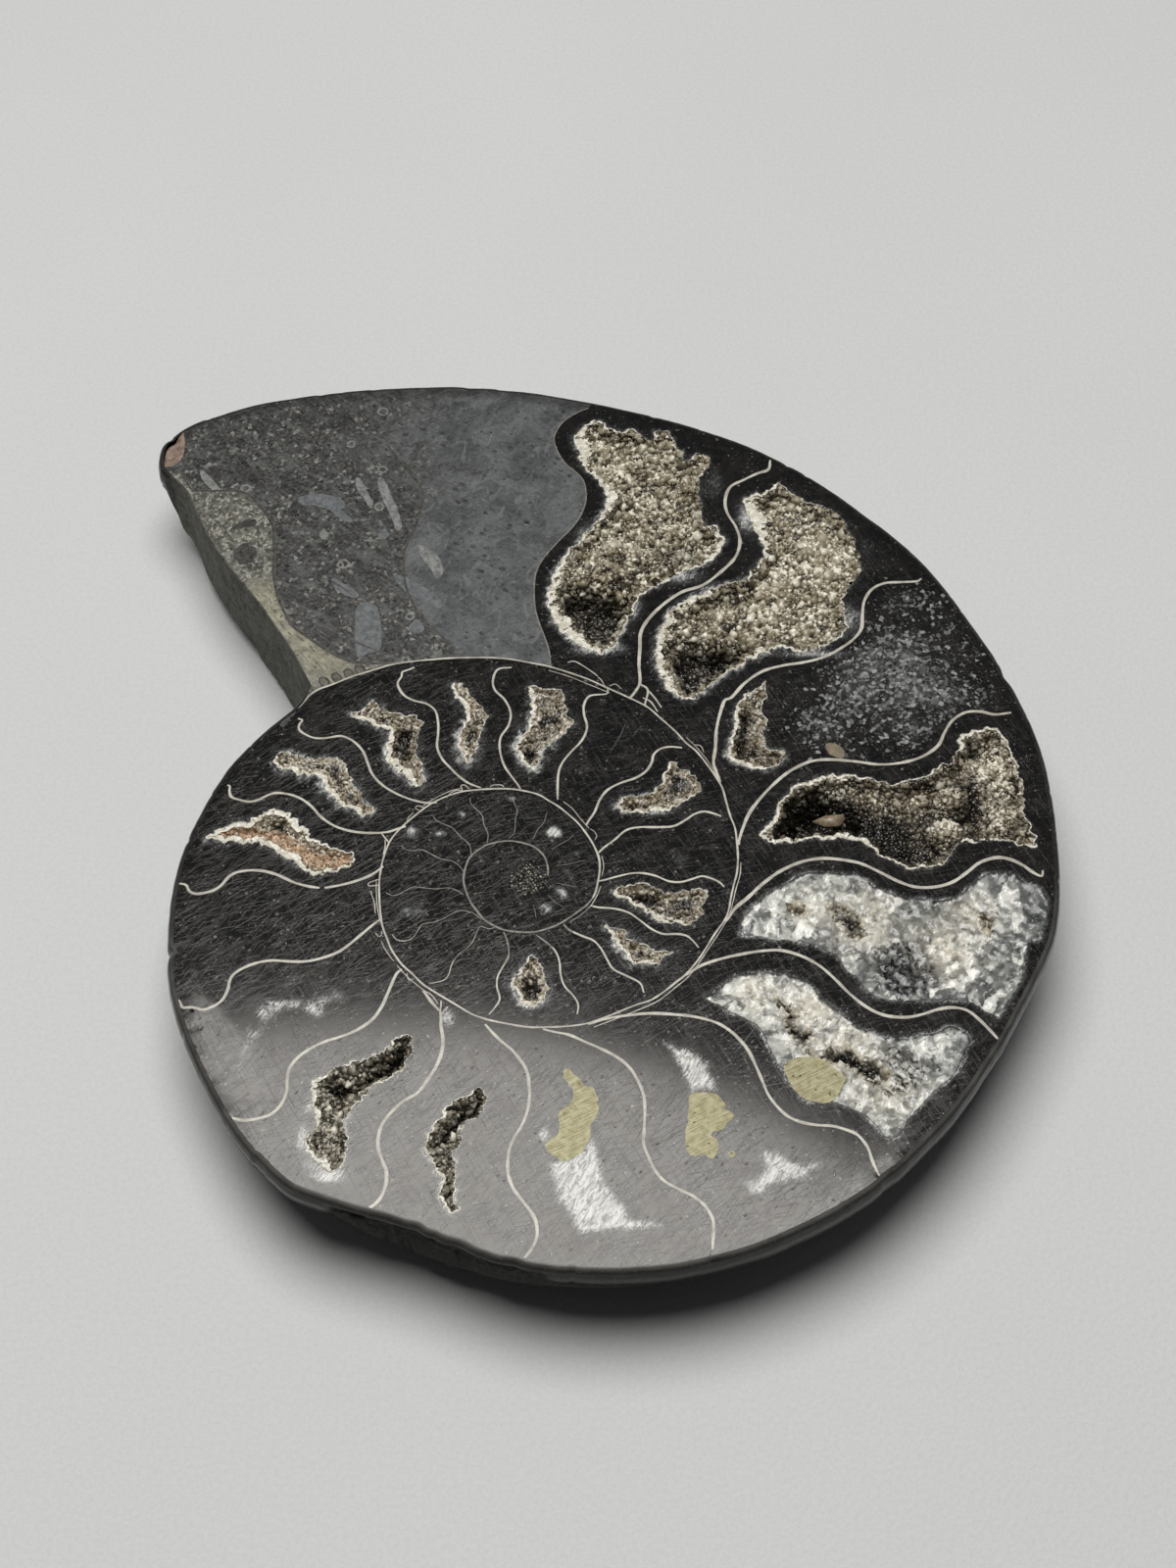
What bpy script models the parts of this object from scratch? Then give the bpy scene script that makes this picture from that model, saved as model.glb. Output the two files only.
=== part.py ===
"""Half of a petrified ammonite, sawn in two along the plane of its coil and polished on the sawn face.

It lies on its flank with the polished face up. The coil is drawn about its own centre in millimetres,
then the whole solid is set down so that the middle of its outline is over the origin and its flank is on z = 0.
Angles are in degrees, anticlockwise seen from above, and run down from the mouth into the coil.
"""

import math

import bmesh
import bpy
from mathutils import Vector
from mathutils.geometry import delaunay_2d_cdt

MM = 0.001

# Driving dimensions, in millimetres.
THICKNESS = 14.4  # polished face to the flank it rests on
MOUTH_ANGLE = 126.0  # direction of the mouth's outer corner
START_ANGLE = -222.5  # where the outer whorl comes out from under the mouth
WHORL_RATIO = 2.42  # how much the shell grows in one turn, in the inner coils
RIM_STEP = 20.0  # degrees between the rim radii below
RIM_FIRST = -270.0
RIM_RADII = (
    32.1, 34.3, 36.8, 37.6, 38.8, 40.4, 42.6, 45.3, 47.2, 50.1,
    53.2, 56.0, 58.6, 61.8, 64.6, 67.3, 70.9, 74.4, 77.7, 81.7, 84.2,
)
MOUTH_OUTER = (-45.6, 64.6)  # the broken mouth runs in a straight line between these
MOUTH_INNER = (-26.3, 28.9)
MOUTH_ROOT = (-17.0, 11.5)  # and on under the coil to here
TIP_ROUNDING = 3.2
CHAMFER = 0.7  # round the polished face
SIDE_HEIGHT = 2.6  # straight side below the chamfer

UMBILICUS = 0.20  # seam radius as a share of the rim radius
CREST = 0.34  # where a whorl is thickest, from the seam to the rim
MOUTH_HALF_WIDTH = 16.5  # half thickness of the shell at the mouth
WIDTH_GROWTH = 0.45  # the body chamber grows slimmer for its size
INNER_GROWTH = 0.85
BOXY_AT_MOUTH = 3.6  # how square a whorl's section is, at the mouth and lower down
BOXY_BELOW = 2.3
SLANT = 0.045  # the saw left the middle plane by this much for each mm towards +Y
UMBILICUS_FILL = 5.0  # rock left in the middle, below the polished face

RINGS = (0.0, 0.45, 1.2, 2.4, 4.2, 6.6)  # distance in from the rim of the rows of points
ANGLE_STEP = 4.0

# Hollows in the chambers: name, depth, and the corners of the smooth outline, about the coil's centre.
HOLLOWS = (
    ("outer_1", 6.6, ((9, 35), (5, 38), (3.5, 43), (6, 48.5), (10, 53), (10.5, 58.5), (8, 64), (6.5, 69.5), (10, 72), (15, 71), (20, 70), (23, 66), (22.5, 60), (25, 53), (22.5, 47), (16.5, 43), (13, 38.5))),
    ("outer_2", 6.6, ((21, 28), (18.5, 31), (17.3, 37), (20.5, 41.5), (26.5, 44), (30, 48.5), (30, 54.5), (29, 59), (32.5, 60.5), (38, 57.5), (42, 52.5), (42, 46), (40.5, 41), (40, 36), (36.5, 34), (30, 33.5), (25.5, 29.5))),
    ("outer_3", 3.0, ((30, 29), (27, 26.5), (25.8, 21), (26.5, 17), (29.5, 15.8), (32, 17), (30, 20), (29.5, 24.5))),
    ("outer_4", 6.6, ((29.8, 5.5), (32, 10.5), (36.5, 13.2), (43.5, 13.8), (49.5, 13.5), (53, 16), (55, 20.5), (58, 21), (59.8, 17), (59.8, 10), (60, 4.5), (56.5, 4.3), (53, 3), (50, 1.5), (45, 1.6), (41, 4.8), (36, 5.2))),
    ("outer_6", 2.4, ((30.5, -16.5), (33.5, -18.5), (36, -22), (40, -24), (42.3, -27), (40, -28.5), (36, -26), (32.5, -22.5), (30.5, -19.5))),
    ("outer_9", 3.0, ((-3.8, -29.3), (-4.2, -32), (-6.3, -36), (-6, -40.5), (-6.8, -43.5), (-9.2, -38), (-9.3, -34.3), (-6.5, -31))),
    ("outer_10", 3.4, ((-12.3, -22), (-12.5, -25), (-16.5, -28), (-18.8, -33), (-18.6, -38), (-21, -38.8), (-22.2, -35.5), (-22.2, -29.8), (-19, -26.3), (-15.5, -23.5))),
    ("outer_12", 2.0, ((-31.5, 8.2), (-27, 8.3), (-24, 5.5), (-20.6, 3.4), (-21, 2), (-24, 1.5), (-28, 4), (-31.5, 5.6))),
    ("inner_14", 2.0, ((-17.5, 25), (-14, 23.5), (-12.2, 21.5), (-12.4, 17.5), (-12, 14.8), (-13, 14), (-15.5, 16.8), (-16, 20), (-16.5, 22.5))),
    ("inner_16", 2.0, ((0.9, 28), (4.6, 27.2), (5.6, 24), (3.5, 20.5), (2.2, 16.6), (0.6, 17.4), (1.8, 22))),
    ("inner_18", 1.8, ((19.6, 15.6), (20.6, 13), (18, 10.6), (13, 9.5), (15, 11.6), (17.6, 13.6))),
    ("inner_20", 2.0, ((12.4, -2), (16, -2.3), (21.6, -3.3), (21, -5.8), (18, -6.2), (14, -4.4))),
    ("inner_24", 1.6, ((2, -12.5), (3.2, -15), (2, -17.4), (0.8, -16), (1.1, -13.8))),
)


def spline(values, u):
    """Catmull-Rom through evenly spaced values, at u counted in steps."""
    i = max(0, min(len(values) - 2, int(math.floor(u))))
    f = u - i
    p1, p2 = values[i], values[i + 1]
    p0 = values[i - 1] if i > 0 else 2 * p1 - p2
    p3 = values[i + 2] if i + 2 < len(values) else 2 * p2 - p1
    return 0.5 * (2 * p1 + (p2 - p0) * f + (2 * p0 - 5 * p1 + 4 * p2 - p3) * f * f + (3 * p1 - p0 - 3 * p2 + p3) * f**3)


def rim_radius(angle):
    """Radius of the coil's outer edge at an angle that keeps running down into the coil."""
    scale = 1.0
    while angle < RIM_FIRST:
        angle += 360.0
        scale /= WHORL_RATIO
    return scale * spline(RIM_RADII, (angle - RIM_FIRST) / RIM_STEP)


def half_width(radius):
    """Half thickness of the shell where its rim has this radius."""
    mouth, start = RIM_RADII[-1], rim_radius(START_ANGLE)
    if radius >= start:
        return MOUTH_HALF_WIDTH * (radius / mouth) ** WIDTH_GROWTH
    return MOUTH_HALF_WIDTH * (start / mouth) ** WIDTH_GROWTH * (radius / start) ** INNER_GROWTH


def whorl_depth(angle, r):
    """How far below the middle plane the flank of the whorl at this angle is, r from the centre."""
    rim = rim_radius(angle)
    seam = UMBILICUS * rim
    s = (r - seam) / (rim - seam)
    if s <= 0 or s >= 1:
        return 0.0
    share = max(0.0, min(1.0, (angle + 60.0) / 150.0))
    boxy = BOXY_BELOW + (BOXY_AT_MOUTH - BOXY_BELOW) * share
    if s >= CREST:
        g = (1 - ((s - CREST) / (1 - CREST)) ** boxy) ** (1 / boxy)
    else:
        g = (1 - ((CREST - s) / CREST) ** 2.6) ** 0.5
    return half_width(rim) * g


def mouth_side(x, y):
    """Distance from the line of the broken mouth, positive on the shell's side."""
    (x0, y0), (x1, y1) = MOUTH_OUTER, MOUTH_INNER
    dx, dy = x1 - x0, y1 - y0
    return ((x - x0) * -dy + (y - y0) * dx) / math.hypot(dx, dy)


def outer_angle(x, y, side=None):
    """Angle of the outermost whorl that reaches this point."""
    angle = math.degrees(math.atan2(y, x))
    if angle > 100 and angle < 156:
        within = (mouth_side(x, y) if side is None else side) >= 0
        return angle if within else angle - 360
    return angle - 360 if angle >= 156 else angle


def soft_max(a, b, k):
    h = max(0.0, k - abs(a - b)) / k
    return max(a, b) + h * h * k / 4


def depth(x, y, side=None):
    """Depth of the solid under the polished face at a point."""
    r = math.hypot(x, y)
    angle = outer_angle(x, y, side)
    slant = SLANT * y
    found = whorl_depth(angle, r) - slant
    for turn in (1, 2):
        found = soft_max(found, whorl_depth(angle - 360 * turn, r) - slant, 1.2)
    found = soft_max(found, UMBILICUS_FILL if r < 0.45 * rim_radius(angle) else 0.0, 1.5)
    return min(found, THICKNESS)


def polished_outline():
    """Edge of the polished face: clockwise along the rim from the mouth's tip, then back along the broken mouth."""
    rim = []
    angle = MOUTH_ANGLE - 1.5
    while angle > START_ANGLE:
        a, r = math.radians(angle), rim_radius(angle)
        rim.append((r * math.cos(a), r * math.sin(a)))
        angle -= ANGLE_STEP
    (x0, y0), (x1, y1) = MOUTH_OUTER, MOUTH_INNER
    mouth = []
    for i in range(1, 15):
        t = i / 15
        mouth.append((x1 + (x0 - x1) * t, y1 + (y0 - y1) * t))
    mouth = [(x1, y1)] + mouth
    # the tip is worn round between the mouth's last point and the rim's first
    a, b = Vector(mouth[-1]), Vector(rim[0])
    corner = Vector((x0, y0)) + (Vector((x0, y0)) - Vector((x1, y1))).normalized() * TIP_ROUNDING
    tip = []
    for i in range(1, 6):
        t = i / 6
        p = a * (1 - t) ** 2 + corner * 2 * t * (1 - t) + b * t * t
        tip.append((p.x, p.y))
    return rim, mouth, tip


def inset(loop, distance):
    """Each point of a clockwise loop, moved inwards along the mean of its edges' normals."""
    moved = []
    count = len(loop)
    for i, p in enumerate(loop):
        a, b, c = Vector(loop[i - 1]), Vector(p), Vector(loop[(i + 1) % count])
        e1, e2 = (b - a).normalized(), (c - b).normalized()
        n = Vector((e1.y, -e1.x)) + Vector((e2.y, -e2.x))
        n.normalize()
        stretch = 1 / max(0.7, n.dot(Vector((e1.y, -e1.x))))
        moved.append((b.x + n.x * distance * stretch, b.y + n.y * distance * stretch))
    return moved


def area(loop):
    return 0.5 * sum(a[0] * b[1] - b[0] * a[1] for a, b in zip(loop, loop[1:] + loop[:1]))


def inside(loop, x, y):
    hit = False
    for (ax, ay), (bx, by) in zip(loop, loop[1:] + loop[:1]):
        if (ay > y) != (by > y) and x < (bx - ax) * (y - ay) / (by - ay) + ax:
            hit = not hit
    return hit


def gap_to(loop, x, y):
    best = 1e9
    for (ax, ay), (bx, by) in zip(loop, loop[1:] + loop[:1]):
        dx, dy = bx - ax, by - ay
        t = max(0.0, min(1.0, ((x - ax) * dx + (y - ay) * dy) / (dx * dx + dy * dy)))
        best = min(best, math.hypot(x - ax - t * dx, y - ay - t * dy))
    return best


def fill(loop, extra, constraints=()):
    """Triangles that fill a loop, through the extra points and along the constraint lines."""
    points = [Vector(p) for p in loop]
    edges = []
    for line in constraints:
        first = len(points)
        points += [Vector(p) for p in line]
        edges += [(first + i, first + i + 1) for i in range(len(line) - 1)]
    points += [Vector(p) for p in extra]
    found, _, faces, origin, _, _ = delaunay_2d_cdt(points, edges, [list(range(len(loop)))], 1, 1e-5)
    return found, faces, origin


def shell_mesh():
    rim, mouth, tip = polished_outline()
    loop = rim + mouth + tip  # clockwise
    count = len(loop)
    on_mouth = {len(rim) + i for i in range(1, len(mouth) + len(tip) - 1)}

    def level(i):
        x, y = loop[i]
        if i in on_mouth:
            inward = inset(loop, 1.0)[i]
            return THICKNESS - depth(inward[0], inward[1], side=1.0)
        return THICKNESS - CHAMFER - SIDE_HEIGHT

    bottom_z = [level(i) for i in range(count)]
    # rows of points that follow the rim, then a polar grid over the flank
    extra = []
    for distance in RINGS[1:]:
        moved = inset(loop, distance)
        step = 1 if distance < 3 else 2
        for i in range(1, len(rim) - 1, step):
            extra.append(moved[i])
        if distance <= 1.2:
            extra += [moved[i] for i in on_mouth]
    row = math.radians(6.0)
    for turn in range(60):
        a = turn * row
        c, s = math.cos(a), math.sin(a)
        for r in (2.6, 5.2, 7.6, 9.6, 11.6, 13.8, 16.2, 19.0, 22.0, 25.5, 29.5, 34.0, 39.0, 44.5, 50.0, 55.5, 61.0, 66.5, 71.5, 76.5):
            if r < 9 and turn % 2:
                continue
            x, y = r * c, r * s
            if inside(loop, x, y) and gap_to(loop, x, y) > (5.6 if mouth_side(x, y) > 7 or r < 60 else 2.5):
                extra.append((x, y))
    extra.append((0.0, 0.0))
    # the broken mouth goes on as a step under the coil
    root, inner = Vector(MOUTH_ROOT), Vector(MOUTH_INNER)
    along = (root - inner).normalized()
    across = Vector((-along.y, along.x))
    upper, lower = [], []
    for i in range(0, 9):
        p = inner + (root - inner) * (i / 8) + along * (0.9 if i == 0 else 0)
        upper.append(tuple(p + across * 0.3))
        lower.append(tuple(p - across * 0.3))
    extra = [p for p in extra if abs(mouth_side(*p)) > 0.8 or (Vector(p) - inner).dot(along) < -1.0 or (Vector(p) - root).dot(along) > 0.6]
    kept = []
    for p in extra:
        if all((p[0] - q[0]) ** 2 + (p[1] - q[1]) ** 2 > 0.16 for q in kept) and inside(loop, *p):
            kept.append(p)
    plan, faces, origin = fill(loop, kept, (upper, lower))

    bm = bmesh.new()
    under = {}
    ups = {tuple(round(v, 4) for v in p) for p in upper}
    lows = {tuple(round(v, 4) for v in p) for p in lower}
    for i, p in enumerate(plan):
        source = origin[i]
        if source and min(source) < count:
            z = bottom_z[min(source)]
            x, y = loop[min(source)]
        else:
            x, y = p
            key = (round(x, 4), round(y, 4))
            side = 1.0 if key in ups else -1.0 if key in lows else None
            z = THICKNESS - depth(x, y, side)
            edge = gap_to(loop[: len(rim)] + [MOUTH_INNER], x, y) if side is None else 9.0
            if edge < 6.0:
                z = min(z, THICKNESS - CHAMFER - SIDE_HEIGHT - 0.6 * edge)
        under[i] = bm.verts.new((x, y, max(0.0, z)))
    for face in faces:
        bm.faces.new([under[i] for i in face])
    by_point = {}
    for i, p in enumerate(plan):
        source = origin[i]
        if source and min(source) < count:
            by_point[min(source)] = under[i]
    side_top = [bm.verts.new((x, y, THICKNESS - CHAMFER)) for x, y in loop]
    face_edge = [bm.verts.new((x, y, THICKNESS)) for x, y in inset(loop, CHAMFER)]
    for i in range(count):
        j = (i + 1) % count
        bm.faces.new((by_point[i], by_point[j], side_top[j], side_top[i]))
        bm.faces.new((side_top[i], side_top[j], face_edge[j], face_edge[i]))
    bm.faces.new(face_edge)
    bmesh.ops.triangulate(bm, faces=[f for f in bm.faces if len(f.verts) > 3])
    bmesh.ops.recalc_face_normals(bm, faces=bm.faces)
    return bm


def smooth_outline(corners, per_side=3):
    """A closed Catmull-Rom curve through the corners, clockwise."""
    corners = [Vector(c) for c in corners]
    count = len(corners)
    loop = []
    for i in range(count):
        p0, p1, p2, p3 = (corners[(i + k - 1) % count] for k in range(4))
        for j in range(per_side):
            f = j / per_side
            p = 0.5 * (2 * p1 + (p2 - p0) * f + (2 * p0 - 5 * p1 + 4 * p2 - p3) * f * f + (3 * p1 - p0 - 3 * p2 + p3) * f**3)
            loop.append((p.x, p.y))
    return loop if area(loop) < 0 else loop[::-1]


def hollow_cutter(name, deep, corners):
    """A closed plug whose lower end is the bowl of one hollow."""
    loop = smooth_outline(corners, 2)
    count = len(loop)
    wall = inset(loop, 0.35)
    bm = bmesh.new()
    lip = [bm.verts.new((x, y, THICKNESS + 1.0)) for x, y in loop]
    edge = [bm.verts.new((x, y, THICKNESS - 0.35 * deep)) for x, y in wall]
    for i in range(count):
        j = (i + 1) % count
        bm.faces.new((lip[i], lip[j], edge[j], edge[i]))
    bm.faces.new(lip)
    pitch = 1.6 if deep > 3.2 else 1.0
    xs, ys = [p[0] for p in wall], [p[1] for p in wall]
    extra = []
    for a in range(int((max(xs) - min(xs)) / pitch) + 2):
        for b in range(int((max(ys) - min(ys)) / pitch) + 2):
            x, y = min(xs) + (a + 0.5 * (b % 2)) * pitch, min(ys) + b * pitch
            if inside(wall, x, y) and gap_to(wall, x, y) > 0.55:
                extra.append((x, y))
    plan, faces, origin = fill(wall, extra)
    low = {}
    for i, p in enumerate(plan):
        if origin[i] and min(origin[i]) < count:
            low[i] = edge[min(origin[i])]
        else:
            share = 1 - math.exp(-gap_to(wall, p.x, p.y) / (0.22 * deep))
            low[i] = bm.verts.new((p.x, p.y, THICKNESS - deep * (0.35 + 0.65 * share)))
    for face in faces:
        bm.faces.new([low[i] for i in face])
    bmesh.ops.triangulate(bm, faces=[f for f in bm.faces if len(f.verts) > 3])
    bmesh.ops.recalc_face_normals(bm, faces=bm.faces)
    return finish_mesh(bm, "cut_" + name)


def finish_mesh(bm, name):
    """The object of a mesh drawn in millimetres about the coil's centre, in metres about the part's origin."""
    for v in bm.verts:
        v.co = Vector((v.co.x - CENTRE[0], v.co.y - CENTRE[1], v.co.z)) * MM
    mesh = bpy.data.meshes.new(name)
    bm.to_mesh(mesh)
    bm.free()
    obj = bpy.data.objects.new(name, mesh)
    bpy.context.scene.collection.objects.link(obj)
    return obj


def stone(name, colour, roughness, metallic):
    material = bpy.data.materials.new(name)
    material.use_nodes = True
    shader = material.node_tree.nodes["Principled BSDF"]
    shader.inputs["Base Color"].default_value = (*colour, 1)
    shader.inputs["Roughness"].default_value = roughness
    shader.inputs["Metallic"].default_value = metallic
    return material


for old in list(bpy.data.objects):
    bpy.data.objects.remove(old)

shell = shell_mesh()
xs, ys = [v.co.x for v in shell.verts], [v.co.y for v in shell.verts]
CENTRE = ((min(xs) + max(xs)) / 2, (min(ys) + max(ys)) / 2)
ammonite = finish_mesh(shell, "ammonite_half")
ammonite.data.materials.append(stone("black_stone", (0.022, 0.022, 0.024), 0.22, 0.0))
for hollow in HOLLOWS:
    cutter = hollow_cutter(*hollow)
    cutter.hide_render = True
    cutter.display_type = "WIRE"
    cut = ammonite.modifiers.new(hollow[0], "BOOLEAN")
    cut.operation = "DIFFERENCE"
    cut.solver = "EXACT"
    cut.object = cutter
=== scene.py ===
"""Looks of half a petrified ammonite: sawn along the plane of its coil, polished, and lying on its flank with the sawn face up.

Outlines on the sawn face are image points (1200 by 1600) seen by the camera below. They are laid on the plane of the face,
in millimetres about the coil's centre, and every mesh is then set down in the frame's metres.
"""

import math

import bpy
import numpy as np
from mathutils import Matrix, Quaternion, Vector
from mathutils.geometry import delaunay_2d_cdt
from mathutils.kdtree import KDTree


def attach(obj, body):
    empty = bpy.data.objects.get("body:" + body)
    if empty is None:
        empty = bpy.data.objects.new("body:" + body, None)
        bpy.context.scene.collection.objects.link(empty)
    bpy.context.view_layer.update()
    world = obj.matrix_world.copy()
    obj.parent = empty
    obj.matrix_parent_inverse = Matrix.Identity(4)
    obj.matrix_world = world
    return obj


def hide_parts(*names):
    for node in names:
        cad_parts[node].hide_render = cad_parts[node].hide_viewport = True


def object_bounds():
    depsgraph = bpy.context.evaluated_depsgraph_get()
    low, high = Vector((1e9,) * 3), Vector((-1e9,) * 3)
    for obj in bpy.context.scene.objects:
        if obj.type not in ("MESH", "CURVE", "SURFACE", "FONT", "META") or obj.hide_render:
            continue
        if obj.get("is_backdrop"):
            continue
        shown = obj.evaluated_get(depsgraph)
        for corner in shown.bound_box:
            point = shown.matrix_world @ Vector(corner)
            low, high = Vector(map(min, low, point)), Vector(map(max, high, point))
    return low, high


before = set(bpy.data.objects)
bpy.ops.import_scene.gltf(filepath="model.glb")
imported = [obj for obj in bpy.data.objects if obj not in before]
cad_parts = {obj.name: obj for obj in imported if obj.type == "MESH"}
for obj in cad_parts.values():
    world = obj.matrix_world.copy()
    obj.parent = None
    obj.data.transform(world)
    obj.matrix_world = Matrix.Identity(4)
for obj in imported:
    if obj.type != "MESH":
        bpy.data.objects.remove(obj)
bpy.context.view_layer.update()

MM = 0.001
FACE = 14.4  # height of the polished face
FOCAL, PITCH, EYE = 2900.0, math.radians(54.2), 277.612
FOOT = (8.42842358, -186.99078907)  # the point of the face's plane under the camera
ORIGIN = (8.180822372, 13.825271606)  # the frame's origin, about the coil's centre

# ---------------------------------------------------------------- traced outlines

RIM = """168,477 167,467 170,455 177,449 188,440 206,431 220,427 240,420.5 260,415 280,411 300,408 320,405 340,402.5 360,400.5
380,399 400,398 420,397 440,396.5 460,396 480,397 500,398 520,400 540,402 560,405 580,408.5 600,412 620,416 640,420.5 660,425 680,430
700,435.5 720,442 740,448.5 760,456 780,465 800,475 820,486 840,498.5 860,512 880,527 900,541.5 920,558 940,577 960,600 980,627
1000,655 1009,668 1013,675 1020,685 1040,723 1050,745 1060,773 1066,800 1071,830 1074,860 1076,885 1076,910 1074,935 1070,955 1061,978 1050,1000
1037,1025 1020,1057 1005,1080 990,1103 970,1130 950,1152 930,1172 912,1189 885,1210 860,1226 830,1242 800,1256 770,1268 740,1277
710,1284 680,1289 640,1292 600,1292 560,1289 520,1282 480,1269 440,1253 400,1238 360,1227 330,1217 300,1206 280,1190 260,1171 240,1145 225,1120
212,1095 200,1070 190,1045 182,1020 178,1000 176.5,985 176.5,976 178.5,972 178.5,967 176.5,963 177,955 178,935 180,915 184,895 190,873 200,848 210,829
220,810 230,795 240,781 260,760 280,742 300,726 310,716"""
MOUTH = "318,700 300,665 280,635 258,605 245,590 222,560 205,530 196,508 188,495 178,486"  # from the inner corner out to the tip

WALLS = (  # width in mm, line
    (0.27, """304,722 320,706 340,698 360,690 380,684 400,678 420,675 440,673 460,671.5 480,671 500,671 520,672.5 540,676 560,680
    580,686 600,693 620,702 640,711 660,721 672,731 680,738 690,747 700,758 710,766 720,778 730,792 737,804 741,818 745,832 750,845
    752,860 753,875 752,890 749,902 746,915 744,927 740,938 730,952 720,968 712,980 700,994 690,1002 680,1010 665,1020 650,1025
    635,1031 620,1037 600,1044 580,1047 560,1048 540,1048 520,1045 500,1041 490,1038 480,1034 460,1022 440,1010 430,1003 420,993
    410,984 400,970 395,958 390,944 388,930 387,915 387,900 389,885 392,873 397,860 404,850 412,842 420,835 430,827 440,820 450,815
    460,811 470,808 480,806.5 500,805 520,805 535,807 550,811 560,817 570,823 580,831 590,840 600,853 606,863 611,875 612,887 610,900
    607,912 600,922 590,930 580,937 570,943 560,947 545,951 530,951 515,949 505,945 495,939 487,930 480,920 475,908 473,897 475,885
    480,874 490,866 500,861 520,858 540,862 550,868 556,875 559,885 559,893"""),
    (0.13, "756,880 755,893 751,907 748,920 744,934 735,950 725,965 715,980 703,996 690,1007 672,1021 655,1029 640,1035 622,1042 606,1048"),
    (0.11, "575,818 584,825 592,835 601,845"),
    (0.12, "614,873 616,884 614,894"),
    (0.12, "613,904 610,912 603,924 592,934 581,941"),
    (0.11, "384,897 384,910 385,925 388,941"),
    (0.10, "432,822 445,814 460,807 472,804"),
    (0.12, "560,684 580,690 600,698 622,707"),
    (0.11, "700,752 712,764 724,779 733,795"),
    (0.11, "405,985 415,996 428,1007 441,1016"),
)

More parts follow.
